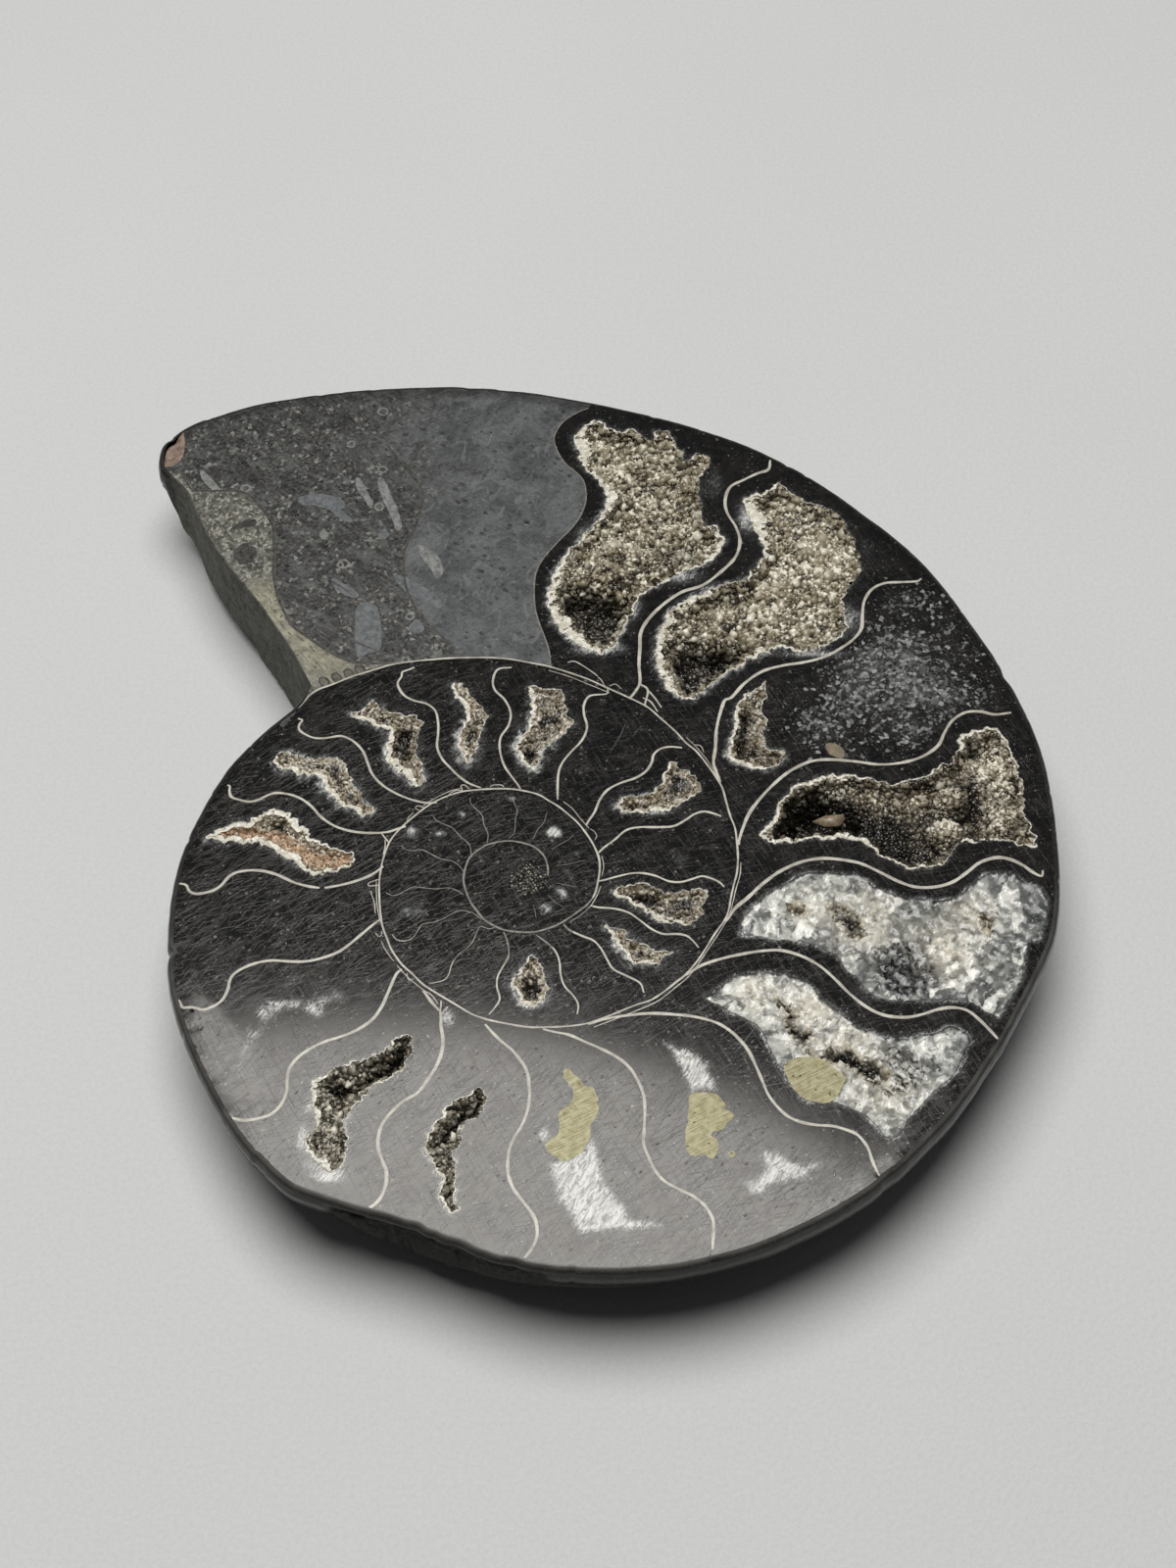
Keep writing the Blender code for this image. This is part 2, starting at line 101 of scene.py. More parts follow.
SEPTA = (  # width in mm, line
    (0.40, "786,469 784,479 773,483 758,490 745,497 740,510 742,523 751,538 755,553 750,569 735,584 717,597 696,604 679,615 663,630 654,645 653,661 652,678 653,696 648,706 643,712"),
    (0.30, "653,698 661,704 658,719"),
    (0.26, "661,704 668,712 675,722"),
    (0.22, "656,712 664,716 671,726"),
    (0.38, "940,590 936,593 919,594 903,595 890,601 882,613 880,628 879,641 871,652 857,662 839,671 819,676 799,679 778,685 760,697 746,712 740,714 735,727 731,745 730,763 728,778 731,787 735,798"),
    (0.38, "1032,727 1015,729 1000,726 985,727 972,735 964,747 957,761 941,772 921,778 898,780 873,777 847,775 827,777 809,785 794,796 778,812 765,829 758,845 754,858 754,862"),
    (0.40, "1064,888 1063,894 1054,890 1044,883 1031,877 1017,875 1000,880 987,890 972,900 954,905 934,905 916,899 898,890 878,881 857,877 837,876 816,880 796,889 778,902 763,916 750,927 741,940"),
    (0.36, "700,995 716,985 737,978 760,973 781,970 799,970 819,976 837,986 852,999 867,1014 885,1028 903,1036 924,1038 941,1035 957,1030 972,1028 987,1031 1000,1041 1010,1051 1019,1060 1023,1060"),
    (0.34, "600,1045 621,1039 641,1036 664,1034 687,1035 706,1037 724,1041 738,1047 751,1057 763,1071 771,1087 778,1103 784,1117 793,1129 804,1139 818,1145 834,1148 850,1149 864,1153 875,1158 885,1170 890,1184 895,1195 898,1200"),
    (0.33, "554,1050 566,1053 581,1056 597,1063 613,1070 630,1079 643,1090 652,1105 657,1119 658,1138 657,1156 657,1168 662,1181 669,1195 678,1205 692,1213 708,1221 719,1230 725,1239 728,1247 728,1260 727,1275"),
    (0.33, "495,1045 501,1052 511,1062 522,1071 532,1083 538,1094 540,1109 540,1123 537,1137 532,1149 525,1160 520,1172 518,1186 519,1200 524,1213 533,1225 542,1237 547,1247 548,1260 544,1272 538,1280 535,1283"),
    (0.34, "432,1011 440,1022 448,1031"),
    (0.22, "450,1021 450,1026 449,1031"),
    (0.22, "457,1027 451,1034"),
    (0.38, "449,1031 450,1039 450,1047 452,1062 450,1076 444,1090 436,1102 426,1115 411,1124 399,1135 390,1147 386,1160 386,1172 390,1184 394,1194 394,1206 390,1219 383,1228 371,1235"),
    (0.34, "410,989 405,993 400,1003 395,1015 389,1028 380,1040 366,1050 350,1057 331,1063 315,1071 303,1080 295,1091 293,1103 292,1115 286,1128 276,1137 262,1141 248,1142 240,1140 231,1138"),
    (0.34, "388,938 380,944 368,954 356,964 344,972 327,978 311,981 295,981 278,980 264,982 252,986 241,992 235,999 232,1011 226,1021 217,1027 207,1030 200,1028 193,1027 186,1027 183,1021 179,1018"),
    (0.34, "391,884 380,892 366,898 348,903 331,906"),
    (0.34, "326,906 313,904 299,900 284,893 270,889 256,888 242,890 233,895 227,902 219,908 209,911 199,912 193,909 190,903 183,901"),
    (0.32, "414,843 405,846 395,849 380,850 364,849 350,846 338,841 327,833 319,824 309,816 297,811 282,809 272,812 264,816 254,818 244,816 236,813 234,806 235,802 232,801"),
    (0.20, "389,850 393,855 397,860"),
    (0.17, "393,857 393,864 391,872"),
    (0.28, "446,819 433,819 417,815 401,808 389,800 380,790 375,778 370,766 360,756 348,751 333,753 321,753 311,749 305,744 306,738 309,735 304,733"),
    (0.27, "491,804 478,799 467,791 460,784 451,774 446,762 447,749 447,737 444,725 435,718 423,715 413,710 407,702 406,696 410,690 410,686 415,684 423,681"),
    (0.26, "531,805 528,800 521,791 514,780 510,765 511,752 519,740 521,727 515,714 505,704 503,694 508,683 522,681"),
    (0.27, "620,703 619,708 602,710 596,719 596,729 599,742 594,755 582,768 574,778 570,788 569,801 569,816"),
    (0.30, "696,763 684,762 674,764 667,770 665,778 659,787 648,794 633,799 620,806 612,816 607,828 601,837 598,842"),
    (0.28, "736,833 728,830 718,828 708,831 699,837 687,843 670,844 653,844 639,847 627,857 616,865 611,870"),
    (0.25, "739,905 734,900 725,896 716,894 706,897 694,900 682,899 670,894 657,891 645,891 631,894 616,898 611,899"),
    (0.25, "713,967 708,961 701,955 691,953 677,953 665,948 653,939 641,931 626,927 611,926 603,924"),
    (0.24, "575,943 581,949 594,955 606,960 614,969 620,980 626,989 640,996 653,1003 657,1013"),
    (0.21, "547,954 558,962 567,971 571,982 572,994 576,1006 585,1016 590,1025 589,1035"),
    (0.20, "514,951 518,962 519,975 514,985 508,996 507,1007 510,1019 505,1028 499,1035"),
    (0.20, "505,946 499,948 491,945 488,948 485,955 480,964 467,975 461,984 458,994 453,1000 442,1003 437,1003"),
    (0.20, "491,938 483,932 471,929 462,932 453,937 442,941 431,943 426,950 421,957 414,960 405,959 400,953"),
    (0.19, "473,913 467,909 458,906 444,907 433,906 422,905 415,908 408,912 401,914 394,911"),
    (0.19, "474,891 469,884 462,879 449,876 439,871 430,867 421,868 412,866 410,862"),
    (0.18, "481,875 479,862 469,853 462,845 453,841 445,837 442,832"),
    (0.18, "497,860 498,851 494,842 492,832 485,825 480,819 480,814"),
    (0.15, "519,855 525,849 526,835 528,828 525,820 523,815"),
    (0.13, "544,856 549,846 555,839 558,829"),
    (0.13, "563,867 572,861 580,857 585,852"),
    (0.12, "568,883 580,882 590,879 597,878"),
    (0.12, "568,901 578,903 589,905"),
    (0.12, "559,913 567,921 574,925"),
    (0.11, "544,923 546,930 547,937"),
    # folds of the shell where septa meet the walls
    (0.13, "433,824 426,822 424,825 430,828"), (0.12, "422,829 417,834 415,838"), (0.14, "456,814 460,809 467,806 472,807 470,802 474,801 479,805"),
    (0.14, "500,803 503,801 512,801 514,803"), (0.13, "602,846 606,848 609,853 607,857"), (0.15, "387,897 376,901 377,904 387,903"),
    (0.13, "378,909 380,915 382,921 383,932"), (0.14, "383,952 387,956 390,953 389,950"), (0.13, "389,960 392,967 398,976 402,981"),
    (0.13, "415,993 417,1000 422,999"), (0.15, "431,1012 439,1014 447,1024"), (0.16, "579,676 587,675 602,684 610,690"),
    (0.15, "610,691 613,693 617,700"), (0.15, "622,700 628,698 634,703"), (0.16, "708,760 715,761 718,767"),
)
SCRATCHES = (
    (0.10, "681,1092 680,1110 677,1129 675,1135"),
    (0.05, "776,1041 760,1062 745,1080"), (0.05, "738,1060 760,1066 783,1071"), (0.05, "640,735 632,752 622,768"), (0.05, "655,740 645,752"),
)

CURVE_A = "185,484 191,492 197,500 216,501 242,501 255,506 267,519 275,530 279,541 279,558 279,584 282,604 288,620 298,638 319,654 339,667 359,675 385,677 405,676"
CURVE_B = "395,454 418,482 428,495 431,507 427,528 421,543 413,561 412,579 414,597 421,615 433,633 446,645 461,658"
CURVE_C = "601,416 587,422 574,431 566,444 567,456 576,472 588,482 596,492 598,508 594,523 584,538 569,553 555,569 547,584 545,602 546,620 550,635 555,648 560,663 562,677"

VUGS = {
    "vug_1": """587,446 596,435 610,430 622,437 633,442 645,437 654,446 663,451 668,442 684,440 691,454 701,469 712,463 723,468 721,479 712,487
    714,502 716,523 719,536 731,537 738,548 736,561 722,574 704,581 689,589 676,597 663,601 653,610 648,625 640,635 633,650 625,661 610,667
    597,662 584,654 573,645 564,633 558,615 560,597 568,579 579,564 592,551 605,538 615,523 619,508 612,495 602,482 594,472 588,459""",
    "vug_2": """760,510 770,504 783,500 793,492 804,499 816,508 832,515 847,519 857,525 865,538 875,559 879,574 875,587 867,599 860,615 861,627
    865,638 857,650 839,661 816,664 793,663 770,671 753,681 735,691 722,701 709,712 694,714 681,704 673,689 669,671 670,653 676,638 686,622
    701,612 717,604 735,597 750,593 763,589 770,578 778,569 779,559 773,546 768,536 761,523""",
    "vug_3": """782,694 773,702 763,707 754,717 749,735 745,755 745,773 755,780 771,784 786,784 799,778 801,768 791,763 782,761 779,750 781,735
    779,720 782,710""",
    "vug_4": """836,792 852,790 873,791 893,796 913,799 931,796 949,789 962,781 972,776 977,766 980,753 989,745 1000,743 1015,741 1023,748
    1029,763 1037,776 1042,794 1045,812 1047,832 1055,850 1058,863 1049,864 1033,861 1015,858 1000,858 985,860 972,868 964,881 944,886
    929,887 916,881 903,877 893,870 885,865 875,860 862,857 842,857 822,857 806,860 788,862 779,856 778,848 786,840 791,830 795,820 806,806 819,798""",
    "vug_9": """491,1111 496,1116 496,1125 492,1137 483,1141 474,1147 471,1158 469,1168 462,1180 466,1192 465,1211 466,1225 468,1235 460,1238
    452,1229 448,1219 450,1204 444,1192 436,1180 433,1168 437,1155 446,1143 456,1129 471,1119 483,1113""",
    "vug_10": """405,1058 413,1055 420,1060 422,1071 418,1081 409,1095 395,1103 384,1107 374,1118 364,1128 352,1140 352,1152 355,1166 353,1181
    348,1193 338,1195 323,1187 313,1175 311,1162 321,1150 321,1136 317,1124 319,1103 329,1099 344,1087 360,1083 376,1079 391,1071""",
    "vug_12": """211,854 221,847 238,841 252,838 266,831 280,825 291,829 301,835 305,841 315,847 319,855 331,860 342,866 356,869 362,872
    360,879 352,886 340,890 321,893 309,889 299,880 286,873 274,865 262,860 250,862 238,860 221,858""",
    "vug_13": """279,776 284,768 301,770 319,774 335,772 350,776 355,784 358,794 364,804 372,817 384,826 372,833 362,827 350,823 338,813
    329,800 321,792 307,790 293,786 282,782""",
    "vug_14": """358,727 370,723 380,713 386,721 399,725 411,729 423,730 431,739 427,749 425,762 427,774 433,786 433,794 427,803 421,800
    417,794 407,788 397,780 393,768 395,755 397,745 384,741 372,737 362,733""",
    "vug_15": "463,696 474,701 483,712 493,722 497,732 492,747 486,763 479,778 472,770 466,758 472,742 477,729 469,717 463,709",
    "vug_16": "541,700 554,703 571,704 576,714 579,729 584,737 574,750 564,758 554,765 548,778 545,786 538,783 529,770 527,758 536,747 538,737 541,722",
    "vug_18": "682,779 689,778 695,784 704,787 711,796 716,805 704,816 689,823 677,828 653,829 633,828 630,819 641,812 655,811 670,804 677,791",
    "vug_20": "625,908 641,903 657,902 672,908 689,910 704,907 722,909 719,922 716,934 706,943 689,942 672,939 660,932 645,922 631,916",
    "vug_21": "615,946 628,948 637,949 641,959 653,962 665,966 674,971 687,971 677,977 670,983 657,985 645,982 636,973 628,961",
    "vug_24": "539,976 549,979 554,987 558,1001 558,1014 553,1023 542,1027 531,1024 526,1014 521,1001 530,991 535,982",
}
DEEPS = {  # vug: depth elsewhere, then (outline of a deep part, its depth)
    "vug_1": (1.9, (("576,597 597,592 622,597 643,610 635,625 620,643 610,653 597,653 584,643 576,625", 6.0), ("700,556 720,552 722,566 706,574", 3.0))),
    "vug_2": (1.9, (("689,658 704,648 722,650 755,658 781,658 806,655 781,663 755,673 737,684 722,691 704,696 694,681 687,668", 6.0), ("768,510 780,508 783,518 772,521", 3.2))),
    "vug_3": (1.0, (("754,725 764,725 762,745 759,761 760,773 750,776 746,761 750,740", 2.8),)),
    "vug_4": (2.3, (("824,809 850,809 862,817 875,832 867,847 860,856 816,856 795,852 799,832 809,817", 7.2), ("985,752 999,752 999,764 986,764", 3.6), ("989,800 1001,800 1003,838 993,838", 3.4))),
    "vug_9": (1.6, (("491,1113 481,1121 466,1127 456,1139 448,1151 442,1164 454,1160 464,1149 479,1141 489,1135", 3.4),)),
    "vug_10": (1.6, (("405,1060 414,1064 413,1079 405,1089 393,1095 376,1101 374,1093 389,1083 397,1073", 3.6), ("331,1101 372,1101 364,1109 344,1111", 3.4))),
    "vug_12": (0.9, (("278,836 288,835 291,842 281,844", 2.2),)),
    "vug_13": (0.5, ()),
    "vug_14": (0.7, (("405,745 417,743 415,758 413,772 403,774", 1.8),)),
    "vug_15": (0.5, ()),
    "vug_16": (0.7, (("533,763 543,762 545,773 537,776", 2.0),)),
    "vug_18": (0.6, (("638,818 650,818 650,825 639,826", 1.6),)),
    "vug_20": (0.8, (("642,908 672,911 672,919 648,918", 2.0),)),
    "vug_21": (0.7, ()),
    "vug_24": (0.6, (("534,1003 545,1003 545,1018 535,1018", 1.6),)),
}

MASS_5 = """755,948 759,937 768,926 783,914 799,904 816,894 837,890 857,891 878,896 898,907 919,914 939,918 959,918 977,913 992,904
1005,894 1023,890 1038,894 1054,903 1066,912 1072,922 1066,940 1063,958 1049,960 1046,978 1045,996 1036,1011 1028,1024 1021,1039
1005,1032 990,1024 970,1021 944,1021 919,1021 901,1019 888,1014 875,1001 862,988 850,976 834,967 814,960 791,958 768,956 755,955"""
MASS_6 = """720,1018 726,1014 738,1004 755,995 773,992 794,993 809,996 824,1004 839,1019 855,1032 870,1044 883,1052 901,1058 924,1061
941,1057 957,1051 970,1047 981,1052 991,1061 985,1075 975,1093 962,1108 944,1124 929,1141 919,1157 906,1161 893,1149 878,1136 862,1129
847,1125 830,1124 818,1119 809,1110 803,1099 800,1091 795,1087 786,1071 777,1054 761,1040 742,1030 724,1021"""
HOLLOW_6 = """790,1015 801,1021 813,1032 813,1044 827,1050 832,1057 824,1065 837,1073 867,1067 880,1078 898,1083 908,1093 903,1103 893,1106
880,1098 867,1088 847,1083 837,1078 827,1075 816,1065 804,1052 800,1039 801,1029"""
HOLLOWS_5 = ("806,921 816,920 823,929 817,934 808,932", "845,922 856,919 868,926 880,938 884,951 876,958 862,950 851,938", "1000,930 1012,932 1014,946 1004,950 998,940")
CLEAR_5 = "898,968 926,962 950,972 956,992 948,1010 920,1016 902,1006 893,986"

PYRITE = {
    "a": "802,1085 811,1080 827,1078 839,1081 850,1089 862,1099 859,1110 848,1124 830,1124 818,1119 809,1110 803,1099 800,1091",
    "b": """704,1117 715,1115 726,1115 733,1118 738,1124 741,1129 735,1131 743,1133 749,1139 742,1146 737,1153 729,1154 725,1158 732,1163
    732,1174 727,1182 719,1178 710,1179 703,1177 699,1165 701,1147 703,1131""",
    "c": """576,1091 581,1091 585,1096 591,1100 597,1108 605,1109 608,1117 611,1121 609,1126 611,1132 607,1141 603,1149 603,1160 598,1168
    593,1176 585,1181 575,1185 567,1180 560,1176 556,1170 560,1164 569,1158 571,1149 570,1137 575,1131 581,1127 585,1119 584,1111 577,1102 575,1096""",
    "speck": "743,1176 748,1175 750,1179 745,1181",
}

WISPS = (  # outline of cloudy calcite inside the stone, strength, feather in mm
    ("585,1181 603,1160 611,1168 614,1184 617,1200 624,1213 632,1225 640,1235 646,1243 658,1245 676,1250 653,1255 634,1255 615,1256 595,1258 585,1251 583,1243 575,1233 569,1225 566,1211 562,1196 560,1186", 1.0, 0.9),
    ("548,1155 557,1150 562,1160 556,1166 550,1165", 0.8, 0.5),
    ("774,1177 793,1172 802,1181 820,1188 832,1184 840,1187 830,1195 818,1202 807,1205 802,1207 788,1210 781,1220 768,1221 761,1213 756,1205 770,1200 779,1190", 0.90, 0.8),
    ("673,1062 678,1064 692,1067 706,1071 717,1079 725,1084 724,1094 731,1103 732,1115 715,1115 703,1118 701,1112 694,1096 688,1085 680,1071", 0.84, 0.7),
    ("274,1018 291,1018 303,1022 319,1018 333,1015 344,1010 352,1015 350,1022 335,1024 335,1036 319,1040 307,1032 291,1034 274,1042 266,1058 258,1071 248,1079 248,1099 242,1097 242,1083 250,1062 262,1048 268,1030", 0.72, 1.0),
    ("280,934 300,936 310,944 300,950 284,946", 0.25, 0.8),
    ("640,868 655,867 665,873 655,878 642,876", 0.32, 0.8), ("678,868 694,868 704,876 694,884 682,878", 0.32, 0.8),
    ("412,883 430,883 453,890 455,896 436,893 416,889", 0.35, 0.7), ("405,928 420,924 432,926 436,933 420,937 408,936", 0.45, 0.7),
    ("335,1186 352,1190 364,1198 352,1206 330,1205 312,1196 306,1184 314,1178", 0.6, 0.8),
    ("760,786 770,790 790,790 802,782 806,774 800,766", 0.35, 0.6),
    ("560,843 570,845 574,851 566,856 558,851", 0.9, 0.5), ("568,906 577,907 580,914 573,918 567,912", 0.8, 0.5),
    ("552,922 562,924 564,931 557,934 551,929", 0.7, 0.5), ("466,828 474,827 477,833 469,835", 0.7, 0.4),
    ("517,811 526,812 527,817 519,818", 0.7, 0.4), ("585,868 592,868 595,874 588,878", 0.5, 0.5), ("572,886 584,888 588,896 576,894", 0.4, 0.6),
)

# ---------------------------------------------------------------- plane geometry


def points(text):
    return np.array([[float(v) for v in p.split(",")] for p in text.split()])


def on_face(p, below=0.0):
    """Image points to millimetres about the coil's centre, on the polished face or on a level this far below it."""
    u, v = (p[:, 0] - 600) / FOCAL, (800 - p[:, 1]) / FOCAL
    s, c = math.sin(PITCH), math.cos(PITCH)
    t = -(EYE + below) / (v * c - s)
    return np.c_[u * t + FOOT[0], (v * s + c) * t + FOOT[1]]


def traced(text):
    return on_face(points(text))


def area(loop):
    x, y = loop[:, 0], loop[:, 1]
    return 0.5 * float(np.sum(x * np.roll(y, -1) - np.roll(x, -1) * y))


def turned_left(loop):
    return loop if area(loop) > 0 else loop[::-1]


def curve(corners, step, closed=True):
    """Catmull-Rom through the corners, with a point about every step."""
    count = len(corners)
    found = []
    for i in range(count if closed else count - 1):
        if closed:
            p0, p1, p2, p3 = (corners[(i + k - 1) % count] for k in range(4))
        else:
            p1, p2 = corners[i], corners[i + 1]
            p0 = corners[i - 1] if i else 2 * p1 - p2
            p3 = corners[i + 2] if i + 2 < count else 2 * p2 - p1
        n = max(1, int(round(np.linalg.norm(p2 - p1) / step)))
        f = (np.arange(n) / n)[:, None]
        found.append(0.5 * (2 * p1 + (p2 - p0) * f + (2 * p0 - 5 * p1 + 4 * p2 - p3) * f * f + (3 * p1 - p0 - 3 * p2 + p3) * f**3))
    if not closed:
        found.append(corners[-1:])
    return np.vstack(found)


def even(line, step, closed=True):
    """The line again with points this far apart."""
    p = np.vstack([line, line[:1]]) if closed else line
    far = np.r_[0, np.cumsum(np.linalg.norm(np.diff(p, axis=0), axis=1))]
    n = max(3 if closed else 1, int(round(far[-1] / step)))
    at = np.linspace(0, far[-1], n + 1)[: n if closed else n + 1]
    return np.c_[np.interp(at, far, p[:, 0]), np.interp(at, far, p[:, 1])]


def normals(line, closed=True):
    """Unit normals to the right of the line, which is outwards on a loop turned left."""
    if closed:
        d = np.roll(line, -1, 0) - np.roll(line, 1, 0)
    else:
        d = np.gradient(line, axis=0)
    d /= np.maximum(1e-9, np.linalg.norm(d, axis=1))[:, None]
    return np.c_[d[:, 1], -d[:, 0]]


def wave(count, waves, rng):
    """A smooth random value along a closed line of points, from -1 to 1."""
    waves = max(3, int(waves))
    v = rng.uniform(-1, 1, waves)
    u = np.arange(count) / count * waves
    i = np.floor(u).astype(int)
    f = u - i
    f = f * f * (3 - 2 * f)
    return v[i % waves] * (1 - f) + v[(i + 1) % waves] * f


def ragged(loop, amount, size, seed, step=0.18, octaves=4):
    """The loop pushed in and out at random, by about this amount, with lumps of this size and smaller ones on them."""
    loop = turned_left(even(loop, step))
    rng = np.random.default_rng(seed)
    length = len(loop) * step
    push = sum(wave(len(loop), length / size * 2**k, rng) * 0.55**k for k in range(octaves))
    return loop + normals(loop) * (amount * push)[:, None]


def inside(loop, p):
    hit = np.zeros(len(p), bool)
    low, high = loop.min(0), loop.max(0)
    near = np.nonzero((p[:, 0] > low[0]) & (p[:, 0] < high[0]) & (p[:, 1] > low[1]) & (p[:, 1] < high[1]))[0]
    x, y = p[near, 0], p[near, 1]
    found = np.zeros(len(near), bool)
    for (ax, ay), (bx, by) in zip(loop, np.roll(loop, -1, 0)):
        if ay != by:
            found ^= ((ay > y) != (by > y)) & (x < (bx - ax) * (y - ay) / (by - ay) + ax)
    hit[near] = found
    return hit


class Line:
    """How far points are from a line."""

    def __init__(self, line, closed=True, step=0.12):
        line = even(line, step, closed)
        self.low, self.high = line.min(0), line.max(0)
        self.tree = KDTree(len(line))
        for i, p in enumerate(line):
            self.tree.insert((p[0], p[1], 0.0), i)
        self.tree.balance()

    def far(self, p, most=1e9):
        found = np.full(len(p), most)
        near = np.nonzero(np.all((p > self.low - most) & (p < self.high + most), axis=1))[0]
        for i in near:
            found[i] = min(most, self.tree.find((p[i, 0], p[i, 1], 0.0))[2])
        return found


def spread(low, high, pitch, rng, jitter=0.3):
    """Points of a loose triangular grid over a box."""
    rows = int((high[1] - low[1]) / (pitch * 0.866)) + 2
    cols = int((high[0] - low[0]) / pitch) + 2
    a, b = np.meshgrid(np.arange(cols), np.arange(rows))
    p = np.c_[(low[0] + (a + 0.5 * (b % 2)) * pitch).ravel(), (low[1] + b * pitch * 0.866).ravel()]
    return p + rng.uniform(-jitter, jitter, p.shape) * pitch


def hashed(*parts):
    """A repeatable random number from 0 to 1 for whole-number arrays."""
    h = np.zeros(np.shape(parts[0]), np.uint64)
    for k, part in enumerate(parts):
        h ^= (np.asarray(part).astype(np.int64) + 40503 * (k + 1)).astype(np.uint64) * np.uint64(0x9E3779B97F4A7C15)
        h ^= h >> np.uint64(29)
        h *= np.uint64(0xBF58476D1CE4E5B9)
        h ^= h >> np.uint64(32)
    return (h >> np.uint64(11)).astype(float) / float(1 << 53)


def noise(p, size, seed=0, octaves=1):
    """Smooth noise over points in two or three dimensions, from -1 to 1."""
    total, reach, weight = np.zeros(len(p)), 0.0, 1.0
    for octave in range(octaves):
        q = p / size * 2.0**octave
        i = np.floor(q).astype(np.int64)
        f = q - i
        f = f * f * (3 - 2 * f)
        found = np.zeros(len(p))
        for corner in range(2 ** p.shape[1]):
            bits = [(corner >> k) & 1 for k in range(p.shape[1])]
            share = np.prod([f[:, k] if bit else 1 - f[:, k] for k, bit in enumerate(bits)], axis=0)
            found += share * hashed(*[i[:, k] + bit for k, bit in enumerate(bits)], np.full(len(p), seed * 31 + octave))
        total += weight * (2 * found - 1)
        reach += weight
        weight *= 0.5
    return total / reach


def step_between(x, a, b):
    t = np.clip((x - a) / (b - a), 0, 1)
    return t * t * (3 - 2 * t)


def triangulate(loops, chains=(), extra=None):
    """Triangles through every loop, chain of quads and extra point: (points, faces, index of the chain each face lies in, or -1)."""
    verts, edges, faces = [], [], []
    total = 0
    for loop in loops:
        n = len(loop)
        verts.append(loop)
        edges += [(total + i, total + (i + 1) % n) for i in range(n)]
        total += n
    owner = []
    for k, (left, right) in enumerate(chains):
        n = len(left)
        verts += [left, right]
        for i in range(n - 1):
            faces.append([total + i, total + n + i, total + n + i + 1, total + i + 1])
            owner.append(k)
        total += 2 * n
    if extra is not None:
        verts.append(extra)
    flat = np.vstack(verts)
    found, _, tris, _, _, origin = delaunay_2d_cdt([Vector(p) for p in flat], edges, faces, 0, 1e-5)
    found = np.array([(p.x, p.y) for p in found])
    tris = np.array(tris)
    chain = np.array([owner[min(ids)] if ids else -1 for ids in origin])
    a, b, c = found[tris[:, 0]], found[tris[:, 1]], found[tris[:, 2]]
    turn = (b[:, 0] - a[:, 0]) * (c[:, 1] - a[:, 1]) - (b[:, 1] - a[:, 1]) * (c[:, 0] - a[:, 0])
    tris[turn < 0] = tris[turn < 0][:, ::-1]
    return found, tris, chain


# ---------------------------------------------------------------- meshes


def piece(name, verts, faces, material, values=None, smooth=False, planar_uv=False, sharp=None):
    """A mesh piece from millimetres about the coil's centre. values are numbers kept at each vertex for the material."""
    verts = np.asarray(verts, float)
    faces = np.asarray(faces)
    used, index = np.unique(faces, return_inverse=True)
    faces = index.reshape(faces.shape)
    verts = verts[used]
    mesh = bpy.data.meshes.new(name)
    per = faces.shape[1]
    mesh.vertices.add(len(verts))
    mesh.vertices.foreach_set("co", ((verts - (ORIGIN[0], ORIGIN[1], 0)) * MM).astype(np.float32).ravel())
    mesh.loops.add(faces.size)
    mesh.loops.foreach_set("vertex_index", faces.astype(np.int32).ravel())
    mesh.polygons.add(len(faces))
    mesh.polygons.foreach_set("loop_start", np.arange(0, faces.size, per, dtype=np.int32))
    mesh.update(calc_edges=True)
    mesh.validate()
    for key, value in (values or {}).items():
        layer = mesh.attributes.new(key, "FLOAT", "POINT")
        layer.data.foreach_set("value", np.asarray(value)[used].astype(np.float32))
    if planar_uv:
        uv = mesh.uv_layers.new(name="OFBake")
        low, size = verts[:, :2].min(0), float(np.ptp(verts[:, :2], axis=0).max())
        flat = (verts[:, :2] - low) / size * 0.98 + 0.01
        corners = np.empty(len(mesh.loops), np.int32)
        mesh.loops.foreach_get("vertex_index", corners)
        uv.data.foreach_set("uv", flat[corners].astype(np.float32).ravel())
    if smooth:
        mesh.polygons.foreach_set("use_smooth", np.ones(len(mesh.polygons), bool))
        if sharp is not None:
            mesh.set_sharp_from_angle(angle=math.radians(sharp))
    mesh.materials.append(material)
    obj = bpy.data.objects.new(name, mesh)
    bpy.context.scene.collection.objects.link(obj)
    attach(obj, "root")
    return obj


def ribbon(line, width, seed, taper=0.35):
    """The two sides of a band along a line, narrower towards its ends and uneven along its length."""
    rng = np.random.default_rng(seed)
    line = even(curve(line, 0.25, closed=False), 0.28, closed=False)
    n = len(line)
    far = np.minimum(np.arange(n), np.arange(n)[::-1]) * 0.28
    half = 0.5 * width * (1 - taper * np.exp(-far / 1.2)) * (1 + 0.16 * wave(n, n * 0.28 / 1.1, rng) + 0.10 * wave(n, n * 0.28 / 0.4, rng))
    off = normals(line, closed=False) * half[:, None]
    return line - off, line + off

# ---------------------------------------------------------------- materials


